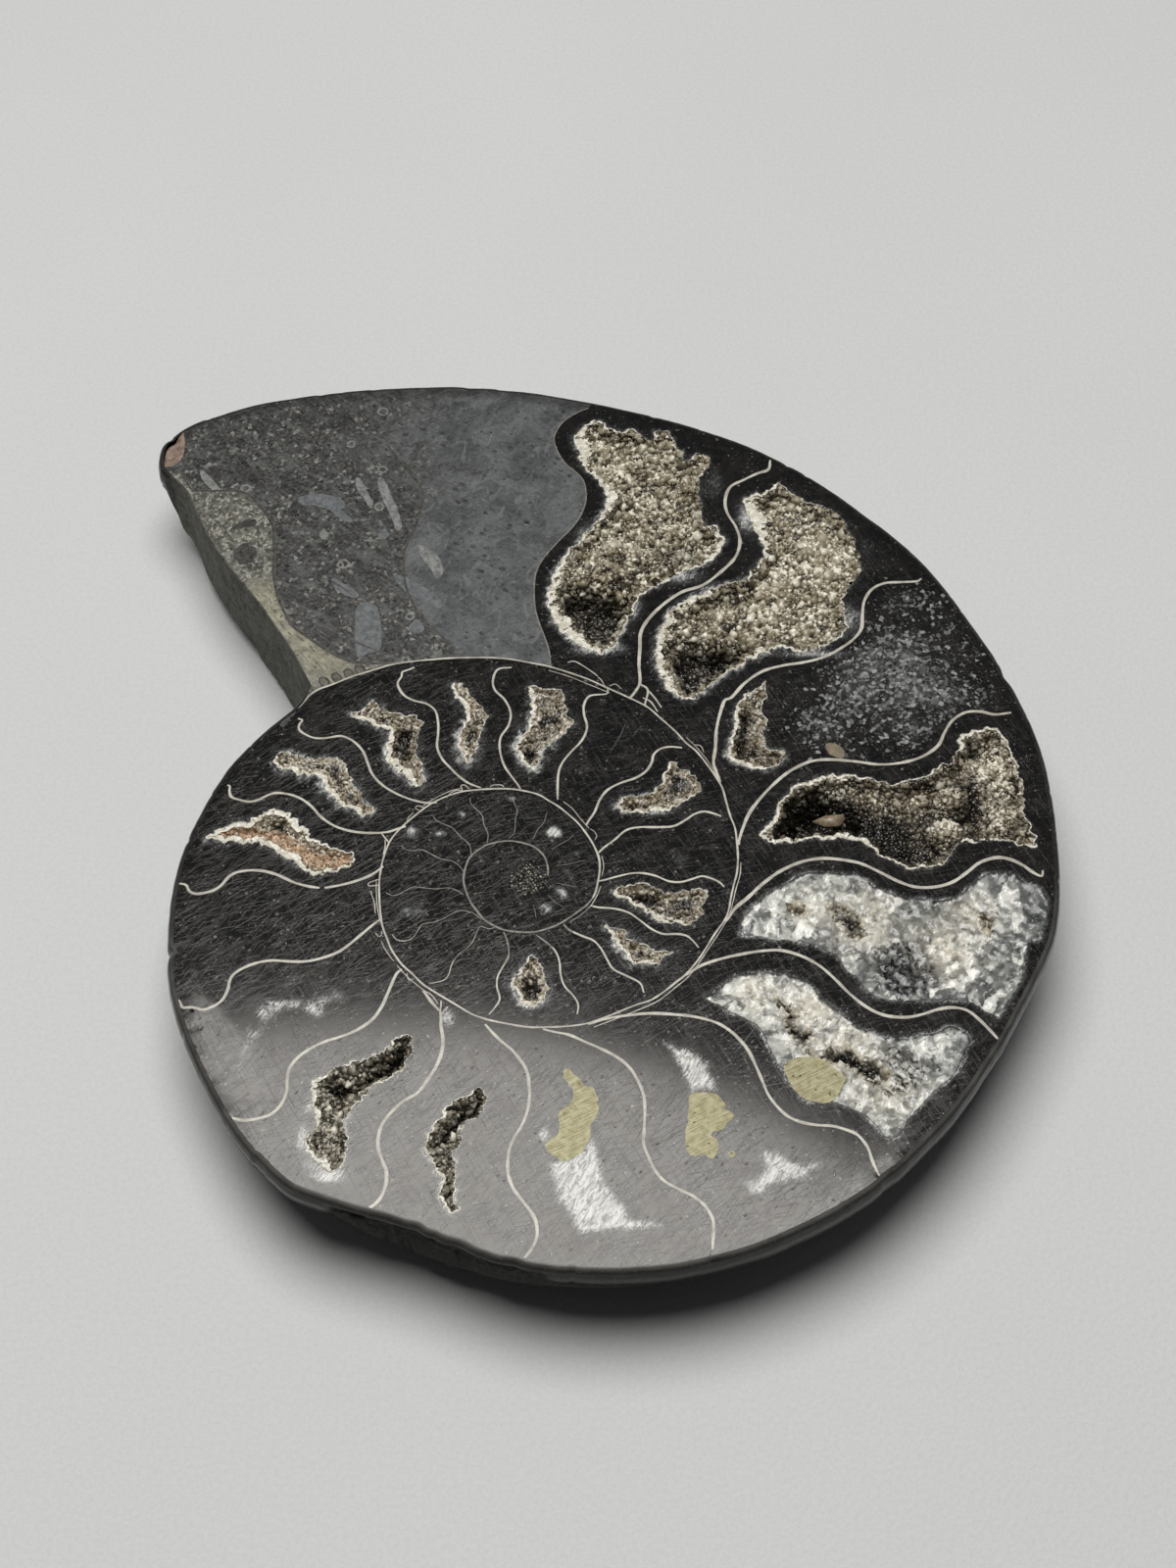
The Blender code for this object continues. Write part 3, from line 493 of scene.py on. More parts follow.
class Finish:
    """A material built of nodes. Its textures are measured in millimetres."""

    def __init__(self, name, roughness=0.4, metallic=0.0, ior=1.5, flat=False):
        self.dimensions = "2D" if flat else "3D"
        self.material = bpy.data.materials.new(name)
        self.material.use_nodes = True
        self.tree = self.material.node_tree
        self.shader = self.tree.nodes["Principled BSDF"]
        self.shader.inputs["Roughness"].default_value = roughness
        self.shader.inputs["Metallic"].default_value = metallic
        self.shader.inputs["IOR"].default_value = ior
        place = self.tree.nodes.new("ShaderNodeTexCoord")
        n = self.tree.nodes.new("ShaderNodeMapping")
        self.plug(n.inputs["Vector"], place.outputs["Object"])
        n.inputs["Scale"].default_value = (1000, 1000, 1000)
        self.mm = n.outputs[0]

    def plug(self, socket, value):
        if isinstance(value, bpy.types.NodeSocket):
            self.tree.links.new(value, socket)
        elif isinstance(value, (tuple, list)) and socket.type == "RGBA" and len(value) == 3:
            socket.default_value = (*value, 1)
        else:
            socket.default_value = value

    def stretched(self, long, wide, turn=0.0, shift=(0, 0, 0), at=None):
        """Coordinates in units of these two lengths, the long one along a direction in degrees."""
        n = self.tree.nodes.new("ShaderNodeMapping")
        n.vector_type = "TEXTURE"
        self.plug(n.inputs["Vector"], at or self.mm)
        n.inputs["Scale"].default_value = (long, wide, wide)
        n.inputs["Rotation"].default_value = (0, 0, math.radians(turn))
        n.inputs["Location"].default_value = shift
        return n.outputs[0]

    def warped(self, size, amount, at=None):
        """Coordinates pushed about by noise, so that round shapes turn ragged."""
        n = self.tree.nodes.new("ShaderNodeTexNoise")
        n.noise_dimensions = self.dimensions
        self.plug(n.inputs["Vector"], at or self.mm)
        n.inputs["Scale"].default_value = 1.0 / size
        n.inputs["Detail"].default_value = 1.0
        centred = self.vector("SUBTRACT", n.outputs["Color"], (0.5, 0.5, 0.5))
        return self.vector("ADD", self.vector("MULTIPLY", centred, (amount, amount, amount)), at or self.mm)

    def vector(self, kind, a, b):
        n = self.tree.nodes.new("ShaderNodeVectorMath")
        n.operation = kind
        self.plug(n.inputs[0], a)
        self.plug(n.inputs[1], b)
        return n.outputs[0]

    def noise(self, size, detail=3.0, rough=0.55, distort=0.0, at=None):
        n = self.tree.nodes.new("ShaderNodeTexNoise")
        n.noise_dimensions = self.dimensions
        self.plug(n.inputs["Vector"], at or self.mm)
        n.inputs["Scale"].default_value = 1.0 / size
        n.inputs["Detail"].default_value = detail
        n.inputs["Roughness"].default_value = rough
        n.inputs["Distortion"].default_value = distort
        return n.outputs["Fac"]

    def cells(self, size, kind="F1", metric="EUCLIDEAN", at=None, jitter=1.0):
        """(distance in cell sizes, random colour of the cell)"""
        n = self.tree.nodes.new("ShaderNodeTexVoronoi")
        n.voronoi_dimensions = self.dimensions
        n.feature = kind
        n.distance = metric
        self.plug(n.inputs["Vector"], at or self.mm)
        n.inputs["Scale"].default_value = 1.0 / size
        n.inputs["Randomness"].default_value = jitter
        return n.outputs["Distance"], (n.outputs["Color"] if kind != "DISTANCE_TO_EDGE" else None)

    def part(self, colour, which="Red"):
        n = self.tree.nodes.new("ShaderNodeSeparateColor")
        self.plug(n.inputs[0], colour)
        return n.outputs[which]

    def value(self, name):
        n = self.tree.nodes.new("ShaderNodeAttribute")
        n.attribute_name = name
        return n.outputs["Fac"]

    def math(self, kind, a, b=0.0, c=0.0, clamp=False):
        n = self.tree.nodes.new("ShaderNodeMath")
        n.operation = kind
        n.use_clamp = clamp
        for socket, v in zip(n.inputs, (a, b, c)):
            self.plug(socket, v)
        return n.outputs[0]

    def add(self, a, b):
        return self.math("ADD", a, b)

    def times(self, a, b):
        return self.math("MULTIPLY", a, b)

    def most(self, *values):
        found = values[0]
        for v in values[1:]:
            found = self.math("MAXIMUM", found, v)
        return found

    def span(self, x, a, b, low=0.0, high=1.0, smooth=True):
        n = self.tree.nodes.new("ShaderNodeMapRange")
        n.interpolation_type = "SMOOTHSTEP" if smooth else "LINEAR"
        for key, v in (("Value", x), ("From Min", a), ("From Max", b), ("To Min", low), ("To Max", high)):
            self.plug(n.inputs[key], v)
        return n.outputs["Result"]

    def mix(self, share, a, b, kind="MIX"):
        n = self.tree.nodes.new("ShaderNodeMix")
        n.data_type = "RGBA"
        n.blend_type = kind
        self.plug(n.inputs[0], share)
        self.plug(n.inputs[6], a)
        self.plug(n.inputs[7], b)
        return n.outputs[2]

    def bump(self, height, depth, normal=None):
        """depth in mm for a height of 1"""
        n = self.tree.nodes.new("ShaderNodeBump")
        n.inputs["Distance"].default_value = depth * MM
        self.plug(n.inputs["Height"], height)
        if normal:
            self.plug(n.inputs["Normal"], normal)
        return n.outputs["Normal"]

    def scratches(self, long, wide, turn, level, shift=0.0, soft=0.035):
        """Straight marks of about this length and width that run at an angle."""
        at = self.stretched(long, wide, turn, (shift, 1.7 * shift, 0.6 * shift))
        return self.span(self.noise(1.0, detail=1.0, rough=0.5, distort=0.3, at=at), level, level + soft)

    def grains(self, size, share, low, high, at=None, gap=0.09, key="Red"):
        """(where there is a grain, its colour): this share of the cells holds an angular grain."""
        _, tint = self.cells(size, at=at)
        edge, _ = self.cells(size, "DISTANCE_TO_EDGE", at=at)
        shown = self.math("LESS_THAN", self.part(tint, key), share)
        return self.times(shown, self.span(edge, gap * 0.3, gap)), self.mix(self.part(tint, "Blue"), low, high)

    def dots(self, size, share, small, large, at=None, key="Red"):
        """Spots of random size, in cell sizes, in this share of the cells."""
        far, tint = self.cells(size, at=at)
        reach = self.span(self.part(tint, "Blue"), 0, 1, small, large, smooth=False)
        near = self.span(self.math("SUBTRACT", far, reach), 0.03, -0.03)
        return self.times(near, self.math("LESS_THAN", self.part(tint, key), share))

    def finish(self, colour, roughness=None, normal=None, **more):
        self.plug(self.shader.inputs["Base Color"], colour)
        if roughness is not None:
            self.plug(self.shader.inputs["Roughness"], roughness)
        if normal is not None:
            self.plug(self.shader.inputs["Normal"], normal)
        for key, v in more.items():
            self.plug(self.shader.inputs[key.replace("_", " ")], v)
        return self.material


def polished_stone():
    f = Finish("polished_black_stone", ior=1.55, flat=True)
    rag = f.warped(0.35, 0.22)
    cloud = f.noise(9, 4, 0.6)
    colour = f.mix(f.span(cloud, 0.35, 0.68), (0.0030, 0.0030, 0.0034), (0.0060, 0.0058, 0.0060))
    fine = f.noise(0.42, 4, 0.68)
    colour = f.mix(f.span(fine, 0.46, 0.76, 0.0, 0.8), colour, (0.0130, 0.0126, 0.0124))
    brown = f.span(f.noise(1.9, 5, 0.72, 0.7), 0.50, 0.74)
    colour = f.mix(f.times(brown, 0.6), colour, (0.0200, 0.0175, 0.0148))
    # pale specks and short flecks of calcite, thicker in patches
    patchy = f.span(f.noise(5.0, 3), 0.40, 0.66)
    specks = f.most(f.dots(0.62, f.span(patchy, 0, 1, 0.04, 0.17), 0.07, 0.22, rag), f.times(f.dots(1.5, 0.16, 0.05, 0.13, rag, "Green"), 1.0))
    colour = f.mix(f.times(specks, f.span(f.noise(0.9, 2), 0.3, 0.7, 0.25, 0.95)), colour, (0.185, 0.180, 0.165))
    flecks = f.most(f.scratches(1.2, 0.13, 28, 0.70, 1.3), f.scratches(1.0, 0.12, -48, 0.70, 6.1), f.scratches(1.4, 0.12, 84, 0.71, 11.7))
    colour = f.mix(f.times(flecks, f.span(patchy, 0, 1, 0.06, 0.34)), colour, (0.100, 0.098, 0.092))
    # rusty pits
    pit = f.times(f.dots(1.25, 0.40, 0.05, 0.17, f.stretched(1.4, 0.8, 50, at=rag), "Green"), f.span(f.noise(2.2, 2), 0.40, 0.62, 0.15, 0.9))
    colour = f.mix(f.times(pit, 0.8), colour, (0.022, 0.0145, 0.0092))
    smudge = f.span(f.noise(3.0, 5, 0.66, 0.6), 0.50, 0.72)
    colour = f.mix(f.times(smudge, 0.5), colour, (0.021, 0.0180, 0.0152))
    # grains of sand that thin out into the stone
    grain = f.value("grain")
    colour = f.mix(f.span(grain, 0.05, 0.8, 0.0, 0.95), colour, f.mix(f.span(f.noise(0.8, 4, 0.7), 0.35, 0.65), (0.017, 0.017, 0.017), (0.058, 0.058, 0.056)))
    g1, c1 = f.grains(0.24, f.times(grain, 0.62), (0.030, 0.030, 0.029), (0.19, 0.19, 0.183), rag, key="Green")
    g2, c2 = f.grains(0.50, f.times(grain, 0.80), (0.030, 0.031, 0.031), (0.34, 0.345, 0.335), rag)
    g3, c3 = f.grains(0.36, f.times(f.times(grain, grain), 0.5), (0.05, 0.05, 0.05), (0.34, 0.345, 0.335), f.stretched(1.5, 1.0, 40, (3, 5, 0), rag))
    colour = f.mix(f.times(g1, 0.85), colour, c1)
    colour = f.mix(f.times(g3, 0.9), colour, c3)
    colour = f.mix(f.times(g2, 0.95), colour, c2)
    # clouds of calcite inside the stone
    haze = f.value("haze")
    fibre = f.most(f.noise(0.62, 5, 0.74, distort=1.4), f.noise(1.0, 4, 0.68, 0.8, f.stretched(1.2, 0.20, 58)))
    mask = f.span(f.add(haze, f.times(f.math("SUBTRACT", fibre, 0.56), 2.2)), 0.36, 0.84)
    milk = f.mix(f.span(f.noise(0.9, 5, 0.72, 0.8, f.stretched(1.6, 0.5, 60)), 0.34, 0.62), (0.25, 0.255, 0.25), (0.80, 0.795, 0.765))
    thin = f.mix(f.span(haze, 0.25, 0.8), (0.19, 0.20, 0.205), milk)
    veil = f.times(f.span(haze, 0.10, 0.70), f.span(f.add(fibre, f.times(f.math("SUBTRACT", f.noise(0.30, 3, 0.7), 0.5), 0.5)), 0.38, 0.72))
    colour = f.mix(f.times(veil, 0.50), colour, (0.30, 0.31, 0.31))
    colour = f.mix(mask, colour, thin)
    # polish
    marks = f.most(f.scratches(7, 0.11, 36, 0.672, 1.7), f.scratches(5, 0.10, 58, 0.680, 5.3), f.scratches(6, 0.10, -62, 0.690, 9.1), f.scratches(4, 0.12, 12, 0.690, 14.2))
    smear = f.noise(3.6, 5, 0.65, distort=0.9)
    rough = f.add(f.span(smear, 0.30, 0.72, 0.072, 0.094), f.times(marks, 0.075))
    rough = f.add(rough, f.add(f.times(pit, 0.16), f.add(f.times(mask, 0.20), f.times(f.most(g1, g2), 0.10))))
    rough = f.add(rough, f.times(f.value("rubbed"), f.span(smear, 0.40, 0.60, 0.0, 0.05)))
    height = f.add(f.times(marks, -0.28), f.add(f.times(pit, -0.7), f.times(fine, 0.04)))
    return f.finish(colour, rough, f.bump(height, 0.009), Specular_IOR_Level=0.5, Specular_Tint=(1.0, 0.975, 0.935, 1.0))


def septum_shell():
    f = Finish("septum_shell", ior=1.53, flat=True)
    colour = f.mix(f.span(f.noise(2.2, 3), 0.3, 0.7), (0.40, 0.37, 0.315), (0.64, 0.61, 0.53))
    colour = f.mix(f.span(f.noise(0.25, 3, 0.65), 0.52, 0.80, 0.0, 0.65), colour, (0.17, 0.155, 0.13))
    rough = f.span(f.noise(0.7, 3), 0.3, 0.7, 0.22, 0.42)
    return f.finish(colour, rough, f.bump(f.noise(0.16, 2), 0.010), Specular_IOR_Level=0.5)


def sediment():
    """Mud that filled the living chamber: coarse and speckled, fine and bluish past the old shell, tan by the mouth."""
    f = Finish("chamber_sediment", ior=1.5, flat=True)
    fine, tan, dusk, cream = f.value("fine"), f.value("tan"), f.value("dusk"), f.value("cream")
    rag = f.warped(0.40, 0.35)
    # coarse
    bed = f.mix(f.span(f.noise(1.2, 6, 0.72, 0.8), 0.36, 0.64), (0.0085, 0.0083, 0.0078), (0.040, 0.039, 0.036))
    clump = f.span(f.noise(3.4, 4, 0.66, 0.5), 0.38, 0.62)
    m1, c1 = f.grains(0.25, f.span(clump, 0, 1, 0.14, 0.55), (0.020, 0.020, 0.018), (0.145, 0.142, 0.131), rag)
    m2, c2 = f.grains(0.46, f.span(clump, 0, 1, 0.03, 0.26), (0.040, 0.040, 0.037), (0.30, 0.296, 0.275), rag, key="Green")
    m3, _ = f.grains(0.58, 0.17, (0, 0, 0), (0, 0, 0), f.stretched(1.4, 0.9, 35, (2, 7, 0), rag))
    coarse = f.mix(f.times(m1, 0.85), bed, c1)
    coarse = f.mix(f.times(m3, 0.85), coarse, (0.0125, 0.0120, 0.0110))
    coarse = f.mix(f.times(m2, 0.85), coarse, c2)
    smudge = f.span(f.noise(1.0, 5, 0.7, 0.6, f.stretched(5.0, 1.6, -38)), 0.52, 0.64)
    coarse = f.mix(f.times(smudge, 0.62), coarse, (0.098, 0.101, 0.097))
    # tiny shells cut across
    for size, level, seed in ((4.4, 0.84, 0.0),):
        far, tint = f.cells(size, at=f.stretched(1.0, 1.0, 0, (seed, seed, 0), rag))
        ring = f.span(f.math("ABSOLUTE", f.math("SUBTRACT", far, f.span(f.part(tint, "Blue"), 0, 1, 0.10, 0.16, smooth=False))), 0.038, 0.015)
        coarse = f.mix(f.times(f.times(ring, f.math("GREATER_THAN", f.part(tint), level)), 0.8), coarse, (0.27, 0.268, 0.245))
    # fine
    smooth = f.mix(f.span(f.noise(5, 5, 0.62, 0.5), 0.34, 0.66), (0.054, 0.058, 0.061), (0.122, 0.128, 0.131))
    smooth = f.mix(f.span(f.noise(0.42, 5, 0.75), 0.42, 0.70, 0.0, 0.6), smooth, (0.044, 0.046, 0.046))
    smooth = f.mix(f.times(f.span(f.noise(2.6, 5, 0.7, 0.6), 0.52, 0.64), f.span(fine, 0.98, 0.6, 0.25, 0.9)), smooth, (0.030, 0.0285, 0.026))
    smooth = f.mix(f.times(f.dots(1.25, 0.55, 0.10, 0.27, f.stretched(1.5, 1.0, -35, at=rag)), f.span(f.noise(6, 2), 0.35, 0.60, 0.30, 0.95)), smooth, (0.022, 0.0205, 0.0190))
    smooth = f.mix(f.times(f.dots(0.7, 0.16, 0.05, 0.16, rag, "Green"), 0.7), smooth, (0.25, 0.25, 0.24))
    smooth = f.mix(f.times(f.span(f.noise(1.0, 5, 0.7, 1.0, f.stretched(3.5, 1.6, 65)), 0.54, 0.68), 0.55), smooth, (0.175, 0.182, 0.182))
    # tan
    warm = f.mix(f.span(f.noise(1.0, 6, 0.72, 0.5), 0.36, 0.64), (0.048, 0.046, 0.037), (0.175, 0.169, 0.137))
    m4, c4 = f.grains(0.34, 0.44, (0.13, 0.128, 0.105), (0.48, 0.47, 0.40), rag)
    m5, c5 = f.grains(0.44, 0.20, (0.018, 0.017, 0.014), (0.060, 0.058, 0.048), rag, key="Green")
    warm = f.mix(f.times(m4, 0.8), warm, c4)
    warm = f.mix(f.times(m5, 0.85), warm, c5)
    pale = f.mix(f.span(f.noise(1.6, 6, 0.68, 0.5), 0.34, 0.66), (0.190, 0.180, 0.125), (0.370, 0.352, 0.262))
    pale = f.mix(f.times(f.most(f.scratches(1.8, 0.24, -52, 0.64, 3.0), f.dots(0.8, 0.16, 0.08, 0.22, rag)), 0.8), pale, (0.050, 0.044, 0.032))
    warm = f.mix(cream, warm, pale)
    colour = f.mix(fine, coarse, smooth)
    colour = f.mix(tan, colour, warm)
    colour = f.mix(f.times(dusk, 0.86), colour, f.mix(f.noise(0.5, 4, 0.7), (0.010, 0.010, 0.010), (0.034, 0.034, 0.033)))
    marks = f.most(f.scratches(6, 0.12, 20, 0.675, 2.7), f.scratches(5, 0.11, -40, 0.68, 7.7), f.scratches(3, 0.12, 62, 0.68, 12.7))
    colour = f.mix(f.times(marks, 0.28), colour, (0.20, 0.20, 0.195))
    rough = f.add(f.span(f.noise(0.6, 4, 0.6), 0.3, 0.7, 0.22, 0.44), f.times(marks, 0.12))
    return f.finish(colour, rough, f.bump(f.add(f.noise(0.30, 4, 0.65), f.times(marks, -0.5)), 0.016), Specular_IOR_Level=0.5)


def fragment(name, low, high):
    """A piece of shell or rock in the mud."""
    f = Finish(name, ior=1.5, flat=True)
    colour = f.mix(f.span(f.noise(0.8, 5, 0.68, 0.4), 0.34, 0.66), low, high)
    colour = f.mix(f.span(f.noise(0.2, 4, 0.7), 0.52, 0.72, 0.0, 0.65), colour, tuple(0.35 * v for v in low))
    return f.finish(colour, f.span(f.noise(0.5, 3), 0.3, 0.7, 0.26, 0.45), f.bump(f.noise(0.3, 3), 0.012), Specular_IOR_Level=0.5)


def rough_rock():
    """The broken mouth."""
    f = Finish("mouth_rock", ior=1.5)
    pale = f.value("pale")
    colour = f.mix(f.span(f.noise(2.6, 6, 0.66, 0.4), 0.34, 0.66), (0.056, 0.056, 0.045), (0.120, 0.119, 0.098))
    colour = f.mix(f.span(f.noise(0.45, 5, 0.75), 0.46, 0.70, 0.0, 0.65), colour, (0.175, 0.170, 0.138))
    m, c = f.grains(0.36, 0.22, (0.022, 0.021, 0.017), (0.052, 0.050, 0.042), f.warped(0.4, 0.3))
    colour = f.mix(f.times(m, 0.75), colour, c)
    colour = f.mix(f.times(pale, 0.85), colour, f.mix(f.span(f.noise(0.6, 5, 0.7), 0.35, 0.65), (0.15, 0.112, 0.085), (0.42, 0.32, 0.245)))
    height = f.add(f.noise(0.9, 5, 0.65), f.times(f.noise(0.25, 3), 0.4))
    return f.finish(colour, f.span(f.noise(0.8, 3), 0.3, 0.7, 0.62, 0.88), f.bump(height, 0.09), Specular_IOR_Level=0.35)


def shell_flank():
    """The outside of the fossil: dark stone with low ribs, leafy seams of the walls inside, and rock left in the hollows."""
    f = Finish("natural_flank", ior=1.5)
    rib, turn, rise, rock, worn, chip, gloss = (f.value(k) for k in ("rib", "turn", "rise", "rock", "worn", "chip", "gloss"))
    colour = f.mix(f.span(f.noise(7, 5, 0.62, 0.5), 0.32, 0.68), (0.0155, 0.0148, 0.0140), (0.037, 0.0352, 0.0325))
    colour = f.mix(f.span(f.noise(0.7, 5, 0.7), 0.46, 0.74, 0.0, 0.65), colour, (0.062, 0.057, 0.050))
    # painted highlight: lighter colour on the crests of the ribs
    colour = f.mix(f.span(rib, 0.55, 1.0, 0.0, 0.5), colour, (0.080, 0.074, 0.064))
    # leafy seams
    zig = f.math("SINE", f.times(rise, 23.0))
    zig = f.add(f.times(zig, 0.5), f.add(f.times(f.math("SINE", f.times(rise, 61.0)), 0.32), f.times(f.math("SINE", f.times(rise, 149.0)), 0.16)))
    zig = f.add(zig, f.times(f.math("SUBTRACT", f.noise(0.8, 3), 0.5), 0.9))
    phase = f.math("FRACT", f.add(f.times(turn, 19.0), f.times(zig, 0.16)))
    seam = f.math("ABSOLUTE", f.math("SUBTRACT", phase, 0.5))
    seam = f.times(f.span(seam, 0.030, 0.012), f.value("sutured"))
    colour = f.mix(f.times(seam, 0.75), colour, (0.17, 0.155, 0.13))
    # rock left on
    mud = f.mix(f.span(f.noise(1.1, 6, 0.7), 0.34, 0.66), (0.075, 0.068, 0.053), (0.20, 0.184, 0.152))
    rock_mask = f.span(f.add(rock, f.times(f.math("SUBTRACT", f.noise(1.4, 5, 0.7), 0.5), 0.9)), 0.42, 0.62)
    colour = f.mix(rock_mask, colour, mud)
    black = f.mix(f.span(f.noise(0.8, 5, 0.7), 0.40, 0.72), (0.0050, 0.0048, 0.0046), (0.020, 0.0190, 0.0178))
    colour = f.mix(gloss, colour, black)
    # the chipped strip of the rim is dark; the same mask carries painted shade on the lower front side and on the
    # underside near the front rim
    colour = f.mix(f.times(chip, 0.9), colour, f.mix(f.span(f.noise(0.42, 5, 0.75), 0.42, 0.66), (0.0040, 0.0038, 0.0035), (0.042, 0.038, 0.032)))
    colour = f.mix(f.times(worn, f.span(f.noise(0.9, 4, 0.7), 0.35, 0.6)), colour, (0.082, 0.079, 0.073))
    # painted highlight: pale line along the bevel
    colour = f.mix(f.times(f.value("edge"), 0.9), colour, (0.115, 0.110, 0.100))
    marks = f.most(f.scratches(4, 0.2, 62, 0.64, 3.3), f.scratches(5, 0.15, -25, 0.67, 8.3), f.scratches(6, 0.12, 4, 0.67, 15.3))
    rough = f.span(gloss, 0.0, 1.0, 0.55, 0.19)
    rough = f.add(f.add(rough, f.times(chip, 0.30)), f.add(f.times(rock_mask, 0.3), f.add(f.times(marks, 0.12), f.times(f.math("SUBTRACT", f.noise(1.2, 4), 0.5), 0.22))))
    colour = f.mix(f.times(f.times(marks, gloss), 0.25), colour, (0.13, 0.125, 0.115))
    height = f.add(f.times(f.noise(0.55, 5, 0.68), f.span(gloss, 0.0, 1.0, 1.0, 0.07)), f.add(f.times(seam, -0.5), f.times(f.noise(2.6, 4), f.span(gloss, 0.0, 1.0, 0.9, 0.0))))
    return f.finish(colour, rough, f.bump(height, 0.09), Specular_IOR_Level=0.30)


def druse(name, dark, mid, light, rust=False):
    """Small crystals, each of its own shade of colour, with painted shade that makes them darker down in the hollow."""
    f = Finish(name, ior=1.58)
    tone, deep = f.value("tone"), f.value("deep")
    colour = f.mix(f.span(tone, 0.02, 0.50), dark, mid)
    colour = f.mix(f.span(tone, 0.42, 0.95), colour, light)
    stain = f.span(f.noise(1.6, 4, 0.65), 0.50, 0.70, 0.0, 0.55)
    colour = f.mix(stain, colour, tuple(v * w for v, w in zip(mid, (0.62, 0.52, 0.38))))
    colour = f.mix(f.span(f.noise(0.28, 3, 0.7), 0.50, 0.72, 0.0, 0.5), colour, tuple(0.40 * v for v in mid))
    if rust:
        colour = f.mix(f.times(f.value("rust"), f.span(f.noise(0.9, 4, 0.6), 0.3, 0.6, 0.55, 1.0)), colour, f.mix(f.span(f.noise(0.5, 4, 0.7), 0.35, 0.65), (0.21, 0.115, 0.055), (0.68, 0.45, 0.28)))
    # painted shade: the deep value darkens crystals down in hollows, at the shady places and round knobs of crystal
    colour = f.mix(f.times(deep, 0.96), colour, (0.0085, 0.0070, 0.0050))
    rough = f.span(f.noise(0.8, 2), 0.3, 0.7, 0.14, 0.36)
    return f.finish(colour, rough, f.bump(f.noise(0.12, 3), 0.010), Specular_IOR_Level=0.5)


def calcite_crust():
    """The cut edge of the crystal lining, flush with the face."""
    f = Finish("calcite_crust", ior=1.58, flat=True)
    rag = f.warped(0.3, 0.2)
    far, tint = f.cells(0.42, at=rag)
    colour = f.mix(f.part(tint), (0.56, 0.515, 0.40), (0.95, 0.925, 0.82))
    edge, _ = f.cells(0.42, "DISTANCE_TO_EDGE", at=rag)
    colour = f.mix(f.span(edge, 0.09, 0.0, 0.0, 0.55), colour, (0.26, 0.235, 0.185))
    cloudy = f.span(f.noise(1.6, 5, 0.7), 0.54, 0.70)
    colour = f.mix(f.times(cloudy, 0.28), colour, (0.38, 0.37, 0.33))
    fade = f.value("fade")
    ragged_fade = f.add(fade, f.times(f.math("SUBTRACT", f.noise(0.40, 5, 0.75), 0.5), 1.5))
    colour = f.mix(f.span(ragged_fade, 0.40, 0.0, 0.0, 0.92), colour, (0.022, 0.022, 0.022))
    rough = f.span(f.part(tint, "Green"), 0, 1, 0.25, 0.50, smooth=False)
    return f.finish(colour, rough, f.bump(f.add(f.part(tint, "Blue"), f.noise(0.2, 2)), 0.03), Specular_IOR_Level=0.5)


def clear_calcite():
    """Blocky calcite that fills two chambers, part milky and part clear."""
    f = Finish("blocky_calcite", roughness=0.2, ior=1.58, flat=True)
    tone, clear, warm, fade = (f.value(k) for k in ("tone", "clear", "warm", "fade"))
    colour = f.mix(f.span(tone, 0.0, 0.5, smooth=False), (0.050, 0.055, 0.056), (0.37, 0.380, 0.352))
    colour = f.mix(f.span(tone, 0.45, 1.1, smooth=False), colour, (0.90, 0.885, 0.81))
    bent = f.warped(0.7, 0.35)
    _, big = f.cells(2.3, metric="CHEBYCHEV", at=f.stretched(1.35, 0.75, 62, at=bent))
    _, small = f.cells(0.95, metric="CHEBYCHEV", at=f.stretched(1.4, 0.75, 28, (4, 2, 0), bent))
    facet = f.add(f.times(f.part(big), 0.62), f.times(f.part(small, "Green"), 0.38))
    colour = f.mix(f.span(facet, 0.47, 0.24, 0.0, 0.92), colour, (0.120, 0.127, 0.123))
    colour = f.mix(f.times(f.span(facet, 0.58, 0.80, 0.0, 0.85), f.span(clear, 0.9, 0.2, 0.12, 1.0)), colour, (0.94, 0.93, 0.86))
    feather = f.noise(1.0, 5, 0.74, distort=1.4)
    colour = f.mix(f.times(f.span(feather, 0.58, 0.72), f.span(tone, 0.1, 0.7, 0.05, 0.25)), colour, (0.93, 0.92, 0.86))
    colour = f.mix(f.times(f.span(f.noise(0.5, 4, 0.75), 0.56, 0.70), 0.25), colour, (0.17, 0.175, 0.165))
    warmth = f.mix(f.span(f.noise(0.7, 4, 0.7), 0.35, 0.65), (0.56, 0.505, 0.395), (0.92, 0.875, 0.755))
    colour = f.mix(f.times(warm, f.span(f.part(small, "Blue"), 0.0, 0.5, 0.40, 0.95)), colour, warmth)
    veil = f.span(f.math("ABSOLUTE", f.math("SUBTRACT", f.noise(1.6, 4, 0.6, 0.8, f.stretched(1.6, 0.7, 62)), 0.5)), 0.012, 0.0)
    colour = f.mix(f.times(veil, f.span(f.noise(0.9, 2), 0.4, 0.6, 0.1, 0.8)), colour, (0.95, 0.95, 0.92))
    through = f.times(clear, f.span(feather, 0.60, 0.42, 0.10, 1.0))
    soft = f.span(f.add(fade, f.times(f.math("SUBTRACT", f.noise(0.6, 5, 0.75), 0.5), 1.1)), 0.60, 0.15)
    colour = f.mix(f.times(soft, 0.90), colour, (0.042, 0.043, 0.045))
    rough = f.span(f.noise(0.9, 3), 0.3, 0.7, 0.10, 0.34)
    return f.finish(colour, rough, f.bump(f.add(f.times(facet, 2.2), f.times(veil, -0.6)), 0.05), Transmission_Weight=through, Specular_IOR_Level=0.5)


def dark_bed():
    f = Finish("chamber_bed", ior=1.5, flat=True)
    colour = f.mix(f.span(f.noise(1.4, 5, 0.7), 0.35, 0.65), (0.010, 0.010, 0.011), (0.085, 0.088, 0.090))
    return f.finish(colour, f.span(f.noise(0.6, 3), 0.3, 0.7, 0.4, 0.8), f.bump(f.noise(0.8, 4), 0.1), Specular_IOR_Level=0.5)


